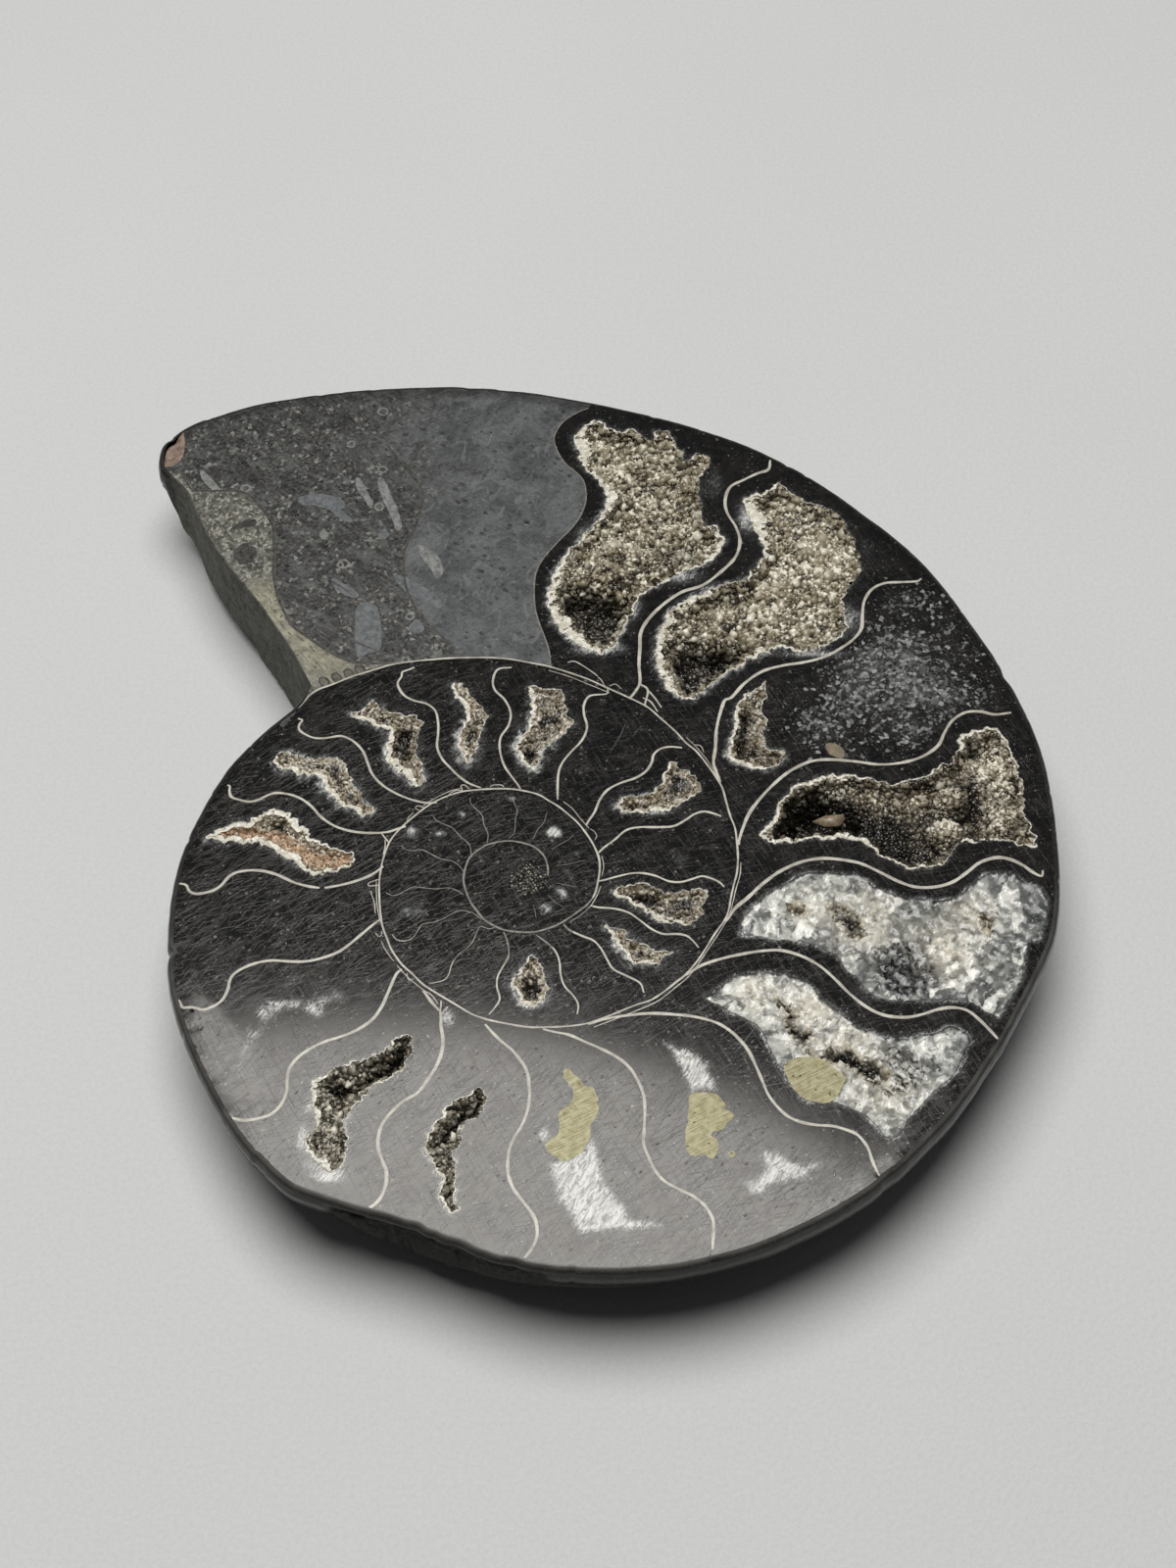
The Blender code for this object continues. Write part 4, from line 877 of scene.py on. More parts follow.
def pyrite():
    f = Finish("pyrite", metallic=1.0, flat=True)
    brushed = f.noise(1.0, 4, 0.65, 0.1, at=f.stretched(3.2, 0.15, 28))
    grain = f.noise(0.9, 5, 0.65)
    colour = f.mix(f.span(grain, 0.34, 0.66), (0.178, 0.163, 0.096), (0.265, 0.247, 0.158))
    colour = f.mix(f.span(brushed, 0.50, 0.70, 0.0, 0.75), colour, (0.40, 0.385, 0.275))
    colour = f.mix(f.span(brushed, 0.48, 0.32, 0.0, 0.6), colour, (0.075, 0.066, 0.034))
    hole = f.dots(0.8, 0.16, 0.05, 0.15, f.warped(0.4, 0.3))
    colour = f.mix(f.times(hole, 0.6), colour, (0.035, 0.029, 0.017))
    rough = f.span(brushed, 0.3, 0.8, 0.40, 0.58)
    return f.finish(colour, rough, f.bump(f.add(brushed, f.times(hole, -1.5)), 0.022))


def floor_finish():
    f = Finish("floor", roughness=0.62, ior=1.45, flat=True)
    colour = f.mix(f.noise(60, 2), (0.655, 0.668, 0.662), (0.685, 0.698, 0.690))
    colour = f.mix(f.span(f.noise(0.55, 4, 0.75), 0.38, 0.66, 0.0, 0.20), colour, (0.50, 0.51, 0.505))
    return f.finish(colour, 0.62, f.bump(f.noise(0.75, 4, 0.65), 0.10), Specular_IOR_Level=0.35)

# ---------------------------------------------------------------- the shell's form

START_ANGLE, WHORL_RATIO, RIM_FIRST = -222.5, 2.42, -270.0
RIM_RADII = [32.1, 34.3, 36.8, 37.6, 38.8, 40.4, 42.6, 45.3, 47.2, 50.1, 53.2, 56.0, 58.6, 61.8, 64.6, 67.3, 70.9, 74.4, 77.7, 81.7, 84.2]
MOUTH_OUTER, MOUTH_INNER, MOUTH_ROOT = (-45.6, 64.6), (-26.3, 28.9), (-17.0, 11.5)
UMBILICUS, CREST, SLANT, FILL = 0.20, 0.34, 0.045, 5.0


def rim_radius(angle):
    scale = 1.0
    while angle < RIM_FIRST:
        angle += 360.0
        scale /= WHORL_RATIO
    u = (angle - RIM_FIRST) / 20.0
    i = max(0, min(len(RIM_RADII) - 2, int(math.floor(u))))
    f = u - i
    p1, p2 = RIM_RADII[i], RIM_RADII[i + 1]
    p0 = RIM_RADII[i - 1] if i > 0 else 2 * p1 - p2
    p3 = RIM_RADII[i + 2] if i + 2 < len(RIM_RADII) else 2 * p2 - p1
    return scale * 0.5 * (2 * p1 + (p2 - p0) * f + (2 * p0 - 5 * p1 + 4 * p2 - p3) * f * f + (3 * p1 - p0 - 3 * p2 + p3) * f**3)


def half_width(radius):
    mouth, start = RIM_RADII[-1], rim_radius(START_ANGLE)
    if radius >= start:
        return 16.5 * (radius / mouth) ** 0.45
    return 16.5 * (start / mouth) ** 0.45 * (radius / start) ** 0.85


def whorl_depth(angle, r):
    rim = rim_radius(angle)
    seam = UMBILICUS * rim
    s = (r - seam) / (rim - seam)
    if s <= 0 or s >= 1:
        return 0.0
    boxy = 2.3 + 1.3 * max(0.0, min(1.0, (angle + 60.0) / 150.0))
    if s >= CREST:
        g = (1 - ((s - CREST) / (1 - CREST)) ** boxy) ** (1 / boxy)
    else:
        g = (1 - ((CREST - s) / CREST) ** 2.6) ** 0.5
    return half_width(rim) * g


def mouth_side(x, y):
    (x0, y0), (x1, y1) = MOUTH_OUTER, MOUTH_INNER
    dx, dy = x1 - x0, y1 - y0
    return ((x - x0) * -dy + (y - y0) * dx) / math.hypot(dx, dy)


def outer_angle(x, y, side=None):
    angle = math.degrees(math.atan2(y, x))
    if 100 < angle < 156:
        within = (mouth_side(x, y) if side is None else side) >= 0
        return angle if within else angle - 360
    return angle - 360 if angle >= 156 else angle


def soft_max(a, b, k):
    h = max(0.0, k - abs(a - b)) / k
    return max(a, b) + h * h * k / 4


def flank(x, y, side=None):
    """(depth under the face, angle of the whorl that is lowest there, share of the way from its seam to its rim)"""
    r = math.hypot(x, y)
    angle = outer_angle(x, y, side)
    slant = SLANT * y
    found = whorl_depth(angle, r) - slant
    lowest = angle
    for turn in (1, 2, 3):
        other = whorl_depth(angle - 360 * turn, r) - slant
        if other > found:
            lowest = angle - 360 * turn
        found = soft_max(found, other, 1.2)
    filled = FILL if r < 0.45 * rim_radius(angle) else 0.0
    fill_share = step_between(np.array([filled - found]), -0.4, 0.6)[0]
    found = soft_max(found, filled, 1.5)
    rim = rim_radius(lowest)
    return min(found, FACE), lowest, (r - UMBILICUS * rim) / (rim * (1 - UMBILICUS)), fill_share


rim_line = curve(traced(RIM), 0.3, closed=False)
mouth_line = curve(traced(MOUTH), 0.3, closed=False)
face_loop = turned_left(even(np.vstack([rim_line, mouth_line]), 0.36))
on_mouth = Line(mouth_line, closed=False).far(face_loop, 3.0)
mouth_share = step_between(on_mouth, 0.9, 0.15)
rng = np.random.default_rng(11)
count = len(face_loop)
# wear along the edge: small nicks on the rim, a rougher line on the broken mouth
nick = np.maximum(0, wave(count, count * 0.36 / 1.4, rng) - 0.62) * 0.45 + 0.02 * wave(count, count * 0.36 / 0.8, rng)
for u, v, wide, deep in ((178, 970, 0.9, 0.25), (1020, 690, 1.2, 0.35), (955, 1165, 1.1, 0.30), (935, 1185, 0.8, 0.25), (470, 1266, 1.2, 0.30), (426, 1247, 0.9, 0.28), (527, 1284, 0.9, 0.22)):
    c = on_face(np.array([[u, v]], float))[0]
    nick += deep * np.exp(-((np.linalg.norm(face_loop - c, axis=1) / wide) ** 2))
crumble = 0.05 * wave(count, count * 0.36 / 1.6, rng) + 0.05 * wave(count, count * 0.36 / 0.6, rng)
face_loop = face_loop - normals(face_loop) * (nick * (1 - mouth_share) + crumble * mouth_share)[:, None]
face_edge = Line(face_loop)
corner = traced("318,700")[0]
from_corner = np.linalg.norm(face_loop - corner, axis=1)
out = normals(face_loop)
for _ in range(4):
    out = out + 0.5 * (np.roll(out, 1, 0) + np.roll(out, -1, 0))
out /= np.linalg.norm(out, axis=1)[:, None]
bevel = (0.72 * (1 - mouth_share) + 0.22 * mouth_share) * (0.15 + 0.85 * step_between(from_corner, 0.3, 2.6))


FRONT_RIM = traced("372,1238 400,1247 440,1262 480,1277 520,1289 560,1296 620,1300 680,1296 740,1280")


def roll_off(p):
    """How far the polish has rounded the face down near its rim."""
    far = face_edge.far(p, 6.4)
    low = np.exp(-(((p[:, 0] + 31) / 13) ** 2 + ((p[:, 1] + 27) / 13) ** 2))
    return (0.10 + 0.34 * low) * np.clip(1 - far / (2.0 + 3.8 * low), 0, 1) ** 2


# strip round the face: rounded bevel, side, and the whole height of the broken mouth
foot = np.zeros(count)
for i, (x, y) in enumerate(face_loop):
    if mouth_share[i] > 0.02:
        deep = flank(x - out[i, 0], y - out[i, 1], side=1.0)[0]
        foot[i] = (FACE - deep) * mouth_share[i] + 11.1 * (1 - mouth_share[i])
    else:
        foot[i] = 11.1
middle_of_mouth = np.exp(-((np.linalg.norm(face_loop - traced("232,585")[0], axis=1) / 11.0) ** 2))
foot += (FACE - foot) * 0.20 * middle_of_mouth * mouth_share
foot = np.maximum(foot, 0.02)
for _ in range(3):
    foot = 0.5 * foot + 0.25 * (np.roll(foot, 1) + np.roll(foot, -1))
top = FACE - roll_off(face_loop)
chip_at = step_between(Line(traced("352,1224 372,1234 400,1243 440,1258 480,1273 520,1286 545,1291"), closed=False).far(face_loop, 6.0), 2.6, 0.6)
rows, row_share = [], []
for k in range(5):
    a = math.radians(90 * k / 4)
    rows.append(np.c_[face_loop + out * (bevel * math.sin(a))[:, None], top - bevel * (1 - math.cos(a))])
SIDE_ROWS = 24
for k in range(1, SIDE_ROWS + 1):
    t = k / SIDE_ROWS
    z = (top - bevel) * (1 - t) + foot * t
    bulge = 0.16 * math.sin(math.pi * min(1, t * 1.2)) * (1 - mouth_share)
    rows.append(np.c_[face_loop + out * (bevel + bulge)[:, None], z])
strip = np.vstack(rows)
level = len(rows)
flat_share = np.tile(mouth_share, level)
depth_down = np.repeat(np.r_[np.zeros(5), np.arange(1, SIDE_ROWS + 1) / SIDE_ROWS], count)
rock_push = 0.16 * noise(strip, 4.5, 3, 3) + 0.12 * noise(strip, 1.2, 5, 3)
side_push = 0.05 * noise(strip, 2.4, 7, 3)
chipped = np.tile(chip_at, level) * step_between(depth_down, 0.05, 0.22)
chip_push = -0.35 + 0.75 * noise(strip, 1.7, 9, 4)
fade_in = step_between(depth_down, 0.0, 0.10)
low_fade = 1 - 0.0 * depth_down
push = fade_in * (rock_push * flat_share + side_push * (1 - flat_share)) * low_fade + chipped * chip_push * (1 - flat_share)
strip[:, :2] += np.tile(out, (level, 1)) * push[:, None]

# the flank, from the foot of the strip in
outer = strip[-count:, :2].copy()
outer_foot = strip[-count:, 2].copy()
outer_edge = Line(outer)
rows_in = []
for distance, every in ((0.35, 1), (0.8, 1), (1.35, 1), (2.0, 2), (2.8, 2), (3.7, 2), (4.8, 3)):
    rows_in.append((outer - out * distance)[::every])
grid = spread(outer.min(0), outer.max(0), 0.95, np.random.default_rng(5), 0.22)
far_in = outer_edge.far(grid, 6.0)
grid = grid[(far_in > 5.2) & inside(outer, grid)]
ring_points = np.vstack(rows_in)
ring_far = outer_edge.far(ring_points, 6.0)
ring_points = ring_points[inside(outer, ring_points) & (ring_far > 0.30)]
root, inner = np.array(MOUTH_ROOT), np.array(MOUTH_INNER)
along = (root - inner) / np.linalg.norm(root - inner)
across = np.array([-along[1], along[0]])
step_line = np.array([inner + (root - inner) * t + along * (1.2 if t == 0 else 0) for t in np.linspace(0, 1, 26)])
upper, lower = step_line + across * 0.35, step_line - across * 0.35
extra = np.vstack([ring_points, grid])
near_step = Line(step_line, closed=False).far(extra, 3.0)
extra = extra[near_step > 0.7]
keep = Line(np.vstack([outer]), step=0.1).far(extra, 1.0) > 0.25
plan, under_faces, _ = triangulate([outer], [(upper, lower)] if False else (), np.vstack([extra[keep], upper, lower]))
middle = plan[under_faces].mean(1)
under_faces = under_faces[inside(outer, middle)]

tops = {(round(p[0], 3), round(p[1], 3)): 1.0 for p in upper}
tops.update({(round(p[0], 3), round(p[1], 3)): -1.0 for p in lower})
edge_of = {(round(p[0], 3), round(p[1], 3)): i for i, p in enumerate(outer)}
edge_far = outer_edge.far(plan, 9.0)
near_mouth = Line(mouth_line, closed=False).far(plan, 9.0)
rim_only = face_loop[mouth_share < 0.5]
rim_far = Line(rim_only, closed=False).far(plan, 9.0)
under = np.zeros((len(plan), 3))
under[:, :2] = plan
angle_of, share_of, filled_of, edge_index = np.zeros(len(plan)), np.zeros(len(plan)), np.zeros(len(plan)), -np.ones(len(plan), int)
for i, (x, y) in enumerate(plan):
    key = (round(x, 3), round(y, 3))
    deep, angle_of[i], share_of[i], filled_of[i] = flank(x, y, tops.get(key))
    z = FACE - deep
    if key in edge_of:
        edge_index[i] = edge_of[key]
        z = outer_foot[edge_of[key]]
    elif rim_far[i] < 7.0:
        z = min(z, 11.1 - 0.60 * max(0, rim_far[i] - 0.7) - 0.25 * min(rim_far[i], 1.5))
    under[i, 2] = max(0.0, z)

rim_r = np.array([rim_radius(a) for a in angle_of])
on_edge = edge_index >= 0
lean = 0.55 * np.sin(np.pi * np.clip(share_of, 0, 1)) - 0.9 * np.clip(share_of - 0.55, 0, 1) ** 1.6
rib_phase = angle_of / 360.0 * 44 + lean * 1.9
rib = 0.5 + 0.5 * np.cos(2 * np.pi * rib_phase)
rib_reach = step_between(share_of, 0.16, 0.55) * step_between(share_of, 1.02, 0.86)
rib_height = 0.0046 * rim_r * rib_reach * (1 - filled_of)
small = 0.5 + 0.5 * np.cos(2 * np.pi * rib_phase * 5 + 1.3 * noise(plan, 6.0, 21))
rock_place = np.clip(filled_of + 0.0, 0, 1)
for x, y, r, s in ((-12, -5, 7, 0.7), (20, 46, 8, 0.55), (38, -14, 7, 0.5), (-30, 50, 6, 0.6), (4, -30, 6, 0.45)):
    rock_place = np.maximum(rock_place, s * np.exp(-(((plan[:, 0] - x) ** 2 + (plan[:, 1] - y) ** 2) / r**2)))
drop = (rib - 0.5) * rib_height + (small - 0.5) * 0.06 * rib_reach * (1 - filled_of) + 0.10 * noise(plan, 5.0, 23, 3) + 0.05 * noise(plan, 1.6, 25, 3)
drop += rock_place * (0.25 * noise(plan, 2.6, 27, 4) + 0.18)
soft = step_between(edge_far, 0.2, 2.5)
under[:, 2] = np.where(on_edge, under[:, 2], under[:, 2] - drop * soft)
resting = step_between(under[:, 2], 1.0, 0.15)
under[:, 2] = np.maximum(under[:, 2], 0.0)

# one mesh: strip and flank share the points of the foot
base = (level - 1) * count
index = np.where(on_edge, base + edge_index, 0)
own = np.nonzero(~on_edge)[0]
index[own] = len(strip) + np.arange(len(own))
body_verts = np.vstack([strip, under[own]])
i = np.arange(count)
j = (i + 1) % count
quads = []
for k in range(level - 1):
    a, b, c, d = k * count + i, k * count + j, (k + 1) * count + j, (k + 1) * count + i
    quads += [np.c_[a, d, c], np.c_[a, c, b]]
body_faces = np.vstack(quads + [index[under_faces][:, ::-1]])


def on_body(strip_value, own_value):
    return np.r_[strip_value, np.asarray(own_value, float)[own]]


strip_far = np.zeros(len(strip))
# painted shade: the lower part of the side along the front rim is darkened
front_side_shade = np.tile(step_between(Line(FRONT_RIM, closed=False).far(face_loop, 9.0), 6.0, 1.0), level) * step_between(depth_down, 0.25, 0.7)
gloss_strip = (1 - flat_share) * step_between(depth_down, 1.0, 0.55) * (1 - chipped)
low_side = step_between(np.tile(face_loop[:, 1], level), 6.0, -14.0)
# painted highlight: a pale line along the rounded bevel, strongest along the front
bevel_highlight = np.repeat(np.r_[0.55, 1.0, 0.55, np.zeros(level - 3)], count) * (1 - flat_share) * (0.25 + 0.75 * low_side) * (0.8 + 0.5 * noise(strip, 2.0, 31, 2))
strip_plan_angle = np.array([outer_angle(x, y) for x, y in face_loop])
values = {
    "rib": on_body(0 * strip_far, rib * rib_reach * (1 - filled_of)),
    "turn": on_body(np.tile(strip_plan_angle / 360.0, level), angle_of / 360.0 + 0.35 * lean),
    "rise": on_body(strip_far + 1.0, share_of),
    "rock": on_body(0 * strip_far, rock_place),
    "worn": on_body(0 * strip_far, resting * 0.8),
    # painted shade: besides the real chipped strip, chip darkens the lower side along the front rim and the underside
    # within a few mm inside it
    "chip": on_body(np.clip(chipped * 1.3 + front_side_shade, 0, 1), step_between(Line(FRONT_RIM, closed=False).far(plan, 9.0), 7.5, 3.5)),
    "edge": on_body(bevel_highlight, 0.0 * share_of),
    "gloss": on_body(gloss_strip, 0.0 * share_of + 0.18 * step_between(rim_far, 3.0, 0.5)),
    "sutured": on_body(0 * strip_far, step_between(share_of, 0.05, 0.2) * step_between(share_of, 0.98, 0.9) * (1 - filled_of) * step_between(angle_of, 84.0, 80.0)),
}
# the broken mouth is a piece of its own stone
face_mouth = np.r_[flat_share, np.zeros(len(own))][body_faces].mean(1) > 0.5
natural = piece("natural_flank", body_verts, body_faces[~face_mouth], shell_flank(), values, smooth=True, sharp=50)
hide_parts("ammonite_half")
tan_place = np.r_[np.tile(step_between(np.linalg.norm(face_loop - traced("172,462")[0], axis=1), 4.5, 2.0), level) * (1 - 0.6 * depth_down), np.zeros(len(own))]
broken = piece("broken_mouth", body_verts, body_faces[face_mouth], rough_rock(), {"pale": tan_place}, smooth=True, sharp=40)

# ---------------------------------------------------------------- the sawn face

PLACES = {}  # left empty: nothing in the script puts an outline in it


def crust_width(loop, seed, widest, spots=()):
    """The lining is cut widest on the side the hollow's floor dips from, towards the coil's older part, and at these spots."""
    rng = np.random.default_rng(seed)
    out = normals(loop)
    lean = np.clip(out @ np.array([-0.80, -0.60]), 0, 1) ** 1.15
    n = len(loop)
    vary = 1 + 0.45 * wave(n, n * 0.18 / 2.6, rng) + 0.30 * wave(n, n * 0.18 / 0.7, rng)
    wide = 0.13 + widest * lean
    for x, y, r, more in spots:
        wide = wide + more * np.exp(-(((loop[:, 0] - x) ** 2 + (loop[:, 1] - y) ** 2) / r**2))
    return np.clip(wide * vary, 0.05, 2.2)


def inset_by(loop, width):
    """The loop moved in by this much at each point, and less where the two sides would meet."""
    tree = Line(loop, step=0.1)
    out = normals(loop)
    width = width.copy()
    for _ in range(7):
        q = loop - out * width[:, None]
        far = tree.far(q, 3.0)
        width = np.where(far < 0.82 * width, width * 0.72, width)
    for _ in range(2):
        width = 0.5 * width + 0.25 * (np.roll(width, 1) + np.roll(width, -1))
    return loop - out * width[:, None]


CRUST = {"vug_1": 0.66, "vug_2": 0.74, "vug_3": 0.55, "vug_4": 0.40, "vug_9": 0.40, "vug_10": 0.45, "vug_12": 0.42, "vug_13": 0.60, "vug_14": 0.70,
         "vug_15": 0.55, "vug_16": 0.65, "vug_18": 0.45, "vug_20": 0.45, "vug_21": 0.45, "vug_24": 0.55}
SPOTS = {
    "vug_1": ((3.8, 42, 6, 1.0), (5, 36.5, 3, 0.5), (8.5, 34, 2.5, 0.5), (7.5, 69, 3.5, 1.1), (11.3, 58.5, 2.2, 0.6), (24, 51.5, 3, 0.9), (16, 44, 3, 0.4), (23.5, 61, 5, -0.5)),
    "vug_2": ((18, 33, 4.5, 1.1), (29.5, 57, 3.2, 1.1), (30.5, 53.5, 2.2, 0.7), (22, 41.5, 3, 0.6), (31, 33, 8, 0.25), (43, 50, 5, -0.4)),
    "vug_4": ((30.5, 6.5, 2, 0.6), (36, 14, 5, 0.45), (57, 21, 4, 0.3), (38, 4.5, 2, 0.3)),
    "vug_12": ((-31, 7, 4, 0.5), (-37, 6, 3, 0.5), (-25, 1, 3, 0.4), (-31, 11, 3, 0.5), (-27, 6.5, 3, 0.5)),
    "vug_10": ((-16.5, -12.5, 3, 0.35), (-24, -28, 3, 0.7)),
    "vug_9": ((-5, -17, 2.5, 0.4),),
}
VEILS = (  # x, y, reach each way, strength: places where the stone is cloudy beside a hollow
    (24.8, 61.5, 2.0, 4.0, 0.26), (8.2, 51.0, 1.5, 3.6, 0.62), (9.8, 34.0, 3.2, 1.1, 0.72), (13.6, 41.5, 1.6, 3.2, 0.60), (20, 46, 3.2, 1.6, 0.50), (8.8, 70.5, 2.2, 1.6, 0.45),
    (24.4, 42.8, 2.6, 1.8, 0.62), (29.0, 55.6, 1.6, 3.4, 0.50), (44, 50, 2.0, 3.6, 0.18), (17.6, 33, 1.4, 4.2, 0.45), (41, 39, 2.4, 3.0, 0.40), (36.5, 33.2, 6.0, 0.7, 0.45),
    (-20.0, -39.6, 2.2, 1.0, 0.75), (-23.2, -35.0, 0.8, 2.4, 0.55), (-22.6, -31.2, 0.9, 0.9, 0.6), (-3.0, -21.5, 1.2, 3.6, 0.0), (-7.5, -19.5, 1.0, 1.4, 0.6), (-30.6, -25.2, 0.7, 1.5, 0.30), (-30.0, -21.8, 0.8, 1.6, 0.42), (-28.4, -18.8, 1.3, 1.4, 0.46), (-25.2, -17.7, 1.9, 0.9, 0.46), (-21.6, -17.1, 1.9, 0.8, 0.38), (-12.5, 6.2, 0.9, 0.9, 0.62), (-9.2, 6.0, 0.9, 0.6, 0.5), (-20, 12, 2.6, 1.1, 0.3),
)
HALO = {"vug_1": (0.60, 0.9), "vug_2": (0.60, 0.9), "vug_3": (0.60, 0.9), "vug_4": (0.42, 0.6), "vug_9": (0.60, 0.8), "vug_10": (0.60, 0.9),
        "vug_12": (0.50, 1.0), "vug_18": (0.60, 1.0), "vug_20": (0.55, 0.8)}
lips, brims = {}, {}
for k, (name, text) in enumerate(VUGS.items()):
    big = k < 4
    lip = ragged(curve(traced(text), 0.3), 0.28 if big else 0.24, 0.9 if big else 0.55, 100 + k)
    lips[name] = lip
    brim = inset_by(lip, crust_width(lip, 200 + k, CRUST[name], SPOTS.get(name, ())))
    brims[name] = turned_left(even(brim, 0.18))
masses = {"mass_5": ragged(curve(traced(MASS_5), 0.3), 0.20, 1.6, 301), "mass_6": ragged(curve(traced(MASS_6), 0.3), 0.16, 1.6, 302)}
rng = np.random.default_rng(77)
crumbs = []
while len(crumbs) < 84:
    a, r = rng.uniform(0, 2 * math.pi), 17 * rng.random() ** 0.62
    c = np.array([539 + 1.12 * r * math.cos(a), 897 + 0.92 * r * math.sin(a)])
    if all(np.linalg.norm(c - d) > 2.1 for d, _ in crumbs):
        crumbs.append((c, 0.42 + 0.75 * rng.random() ** 2))
pyrites = {name: ragged(curve(traced(text), 0.25), 0.05, 0.8, 320 + k, step=0.15) for k, (name, text) in enumerate(PYRITE.items())}
wisps = [(ragged(curve(traced(text), 0.3), 0.18, 1.2, 340 + k, step=0.25), strength, feather) for k, (text, strength, feather) in enumerate(WISPS)]


def spot(u, v, r, n=18, seed=0):
    a = np.arange(n) / n * 2 * math.pi
    rng = np.random.default_rng(seed)
    rr = r * (1 + 0.18 * rng.uniform(-1, 1, n))
    return traced(" ".join(f"{u + x:.1f},{v + y:.1f}" for x, y in zip(rr * np.cos(a), rr * np.sin(a))))


FRAGMENTS = {  # scraps of shell and rock in the living chamber: outline, material
    "blade_1": (traced("364,487 370,492 380,513 378,519 370,507 364,497"), "pale"),
    "blade_2": (traced("386,488 391,488 398,502 407,523 410,538 405,541 400,530 391,510 386,497"), "pale"),
    "blade_3": (traced("364,620 385,620 389,660 376,666 364,668"), "blue"),
    "blade_4": (traced("205,480 214,486 224,500 216,499 207,490"), "pale"),
    "blade_5": (traced("336,516 350,522 360,531 352,532 340,524"), "blue"),
    "blade_6": (traced("338,590 352,596 366,606 360,610 344,602"), "blue"),
    "almond": (traced("234,541 245,533 260,530 260,536 247,539"), "dark"),
    "round": (spot(250, 566, 10.5, seed=4), "dark"),
    "lump_1": (spot(425, 640, 7, seed=5), "blue"),
    "lump_2": (spot(330, 545, 5, seed=6), "pale"),
    "lump_3": (spot(392, 545, 5, seed=8), "blue"),
    "cloud_1": (traced("305,508 322,503 345,508 352,517 340,521 322,516 308,515"), "blue"),
    "cloud_2": (traced("402,586 420,592 440,604 452,616 446,620 428,611 410,600"), "blue"),
    "cloud_3": (traced("428,556 446,566 452,582 446,590 438,578 430,568"), "pale"),
    "flake": (traced("842,760 852,759 861,766 860,773 852,772 846,769"), "flake"),
}
for k, (x, y) in enumerate(((-24.2, 28.75), (-22.7, 29.45), (-21.2, 30.05), (-19.8, 30.6))):
    a = np.linspace(0, 2 * math.pi, 13)[:-1]
    for part_name, rx, ry, kind in (("outer", 0.66, 0.92, "dark"), ("inner", 0.44, 0.68, "umber")):
        p = np.c_[rx * np.cos(a), ry * np.sin(a)]
        FRAGMENTS[f"rib_{k}_{part_name}"] = (p @ np.array([[0.82, 0.57], [-0.57, 0.82]]) + (x, y), kind)
FRAGMENTS = {k: (ragged(curve(line, 0.2), 0.06, 0.8, 360 + i, step=0.16), kind) for i, (k, (line, kind)) in enumerate(FRAGMENTS.items())}
CHIP = turned_left(curve(traced("150,462 164,440 184,436 188,446 188.5,455 186,467 178,474 166,476 150,474"), 0.3))

chains, kinds = [], []
INNER = np.array([-3.0, -0.3])  # middle of the inner coil, whose septa are thin and dim
for k, (width, text) in enumerate(SEPTA):
    slim = 0.58 if np.linalg.norm(traced(text).mean(0) - INNER) < 11.2 else 1.0
    chains.append(ribbon(traced(text), slim * width, 400 + k))
    kinds.append("septa")
for k, (width, text) in enumerate(WALLS):
    chains.append(ribbon(traced(text), 0.80 * width, 480 + k, taper=0.1))
    kinds.append("septa")
for k, (width, text) in enumerate(SCRATCHES):
    chains.append(ribbon(traced(text), width, 500 + k, taper=0.8))
    kinds.append("scratch")
for k, (width, text) in enumerate(((0.34, CURVE_A), (0.34, CURVE_B), (0.17, CURVE_C), (0.22, "318,594 328,590 340,594 350,600 359,607"), (0.2, "322,600 334,600 346,608"),
                                   (0.2, "330,641 345,650 362,655 385,664 400,668"), (0.24, "300,462 312,478 322,492"), (0.2, "243,478 262,484 276,494 286,508"))):
    chains.append(ribbon(traced(text), width, 520 + k, taper=0.3))
    kinds.append("old_shell" if k != 2 else "thin_line")

dense = []
for lip in lips.values():
    out = normals(lip)
    dense += [(lip + out * d)[::2] for d in (0.22, 0.5, 0.85)]
for loop in masses.values():
    out = normals(loop)
    dense += [(loop + out * d)[::2] for d in (0.25, 0.6)]
for loop, _, _ in wisps:
    g = spread(loop.min(0) - 0.6, loop.max(0) + 0.6, 0.38, np.random.default_rng(7))
    dense.append(g[inside(loop, g) | (Line(loop).far(g, 0.6) < 0.55)])
body_zone = turned_left(traced("601,380 601,416 " + CURVE_C + " 563,681 540,676 520,672.5 500,671 480,671 460,671.5 440,673 420,675 400,678 380,684 360,690 340,698 320,706 304,722 290,745 130,520 130,380"))
g = spread(face_loop.min(0), face_loop.max(0), 0.75, np.random.default_rng(8))
in_body = inside(body_zone, g)
g2 = spread(body_zone.min(0), body_zone.max(0), 0.5, np.random.default_rng(9))
dense.append(g[~in_body])
dense.append(g2[inside(body_zone, g2)])
rim_rows = [(face_loop - out_d * d)[::2] for out_d, d in ((normals(face_loop), d) for d in (0.35, 0.8, 1.4, 2.1))]
dense += rim_rows
extra = np.vstack(dense)
extra = extra[inside(face_loop, extra)]
loops = [face_loop] + list(lips.values()) + list(brims.values()) + list(masses.values()) + list(pyrites.values()) + [v[0] for v in FRAGMENTS.values()]
loops.append(CHIP)
crumb_loops = [spot(c[0], c[1], r, n=7, seed=600 + k) for k, (c, r) in enumerate(crumbs)]
loops += crumb_loops
flat, tris, chain = triangulate(loops, chains, extra)
middle = flat[tris].mean(1)
kind = np.full(len(tris), "matrix", dtype="U12")
in_body = inside(body_zone, middle)
kind[in_body] = "mud"
for name, (loop, what) in FRAGMENTS.items():
    kind[inside(loop, middle)] = what
kind[inside(CHIP, middle)] = "chip"
for k, what in enumerate(kinds):
    kind[chain == k] = what
for name, loop in lips.items():
    kind[inside(loop, middle)] = "crust"
for loop in masses.values():
    kind[inside(loop, middle)] = "hole"
for loop in pyrites.values():
    kind[inside(loop, middle)] = "pyrite"
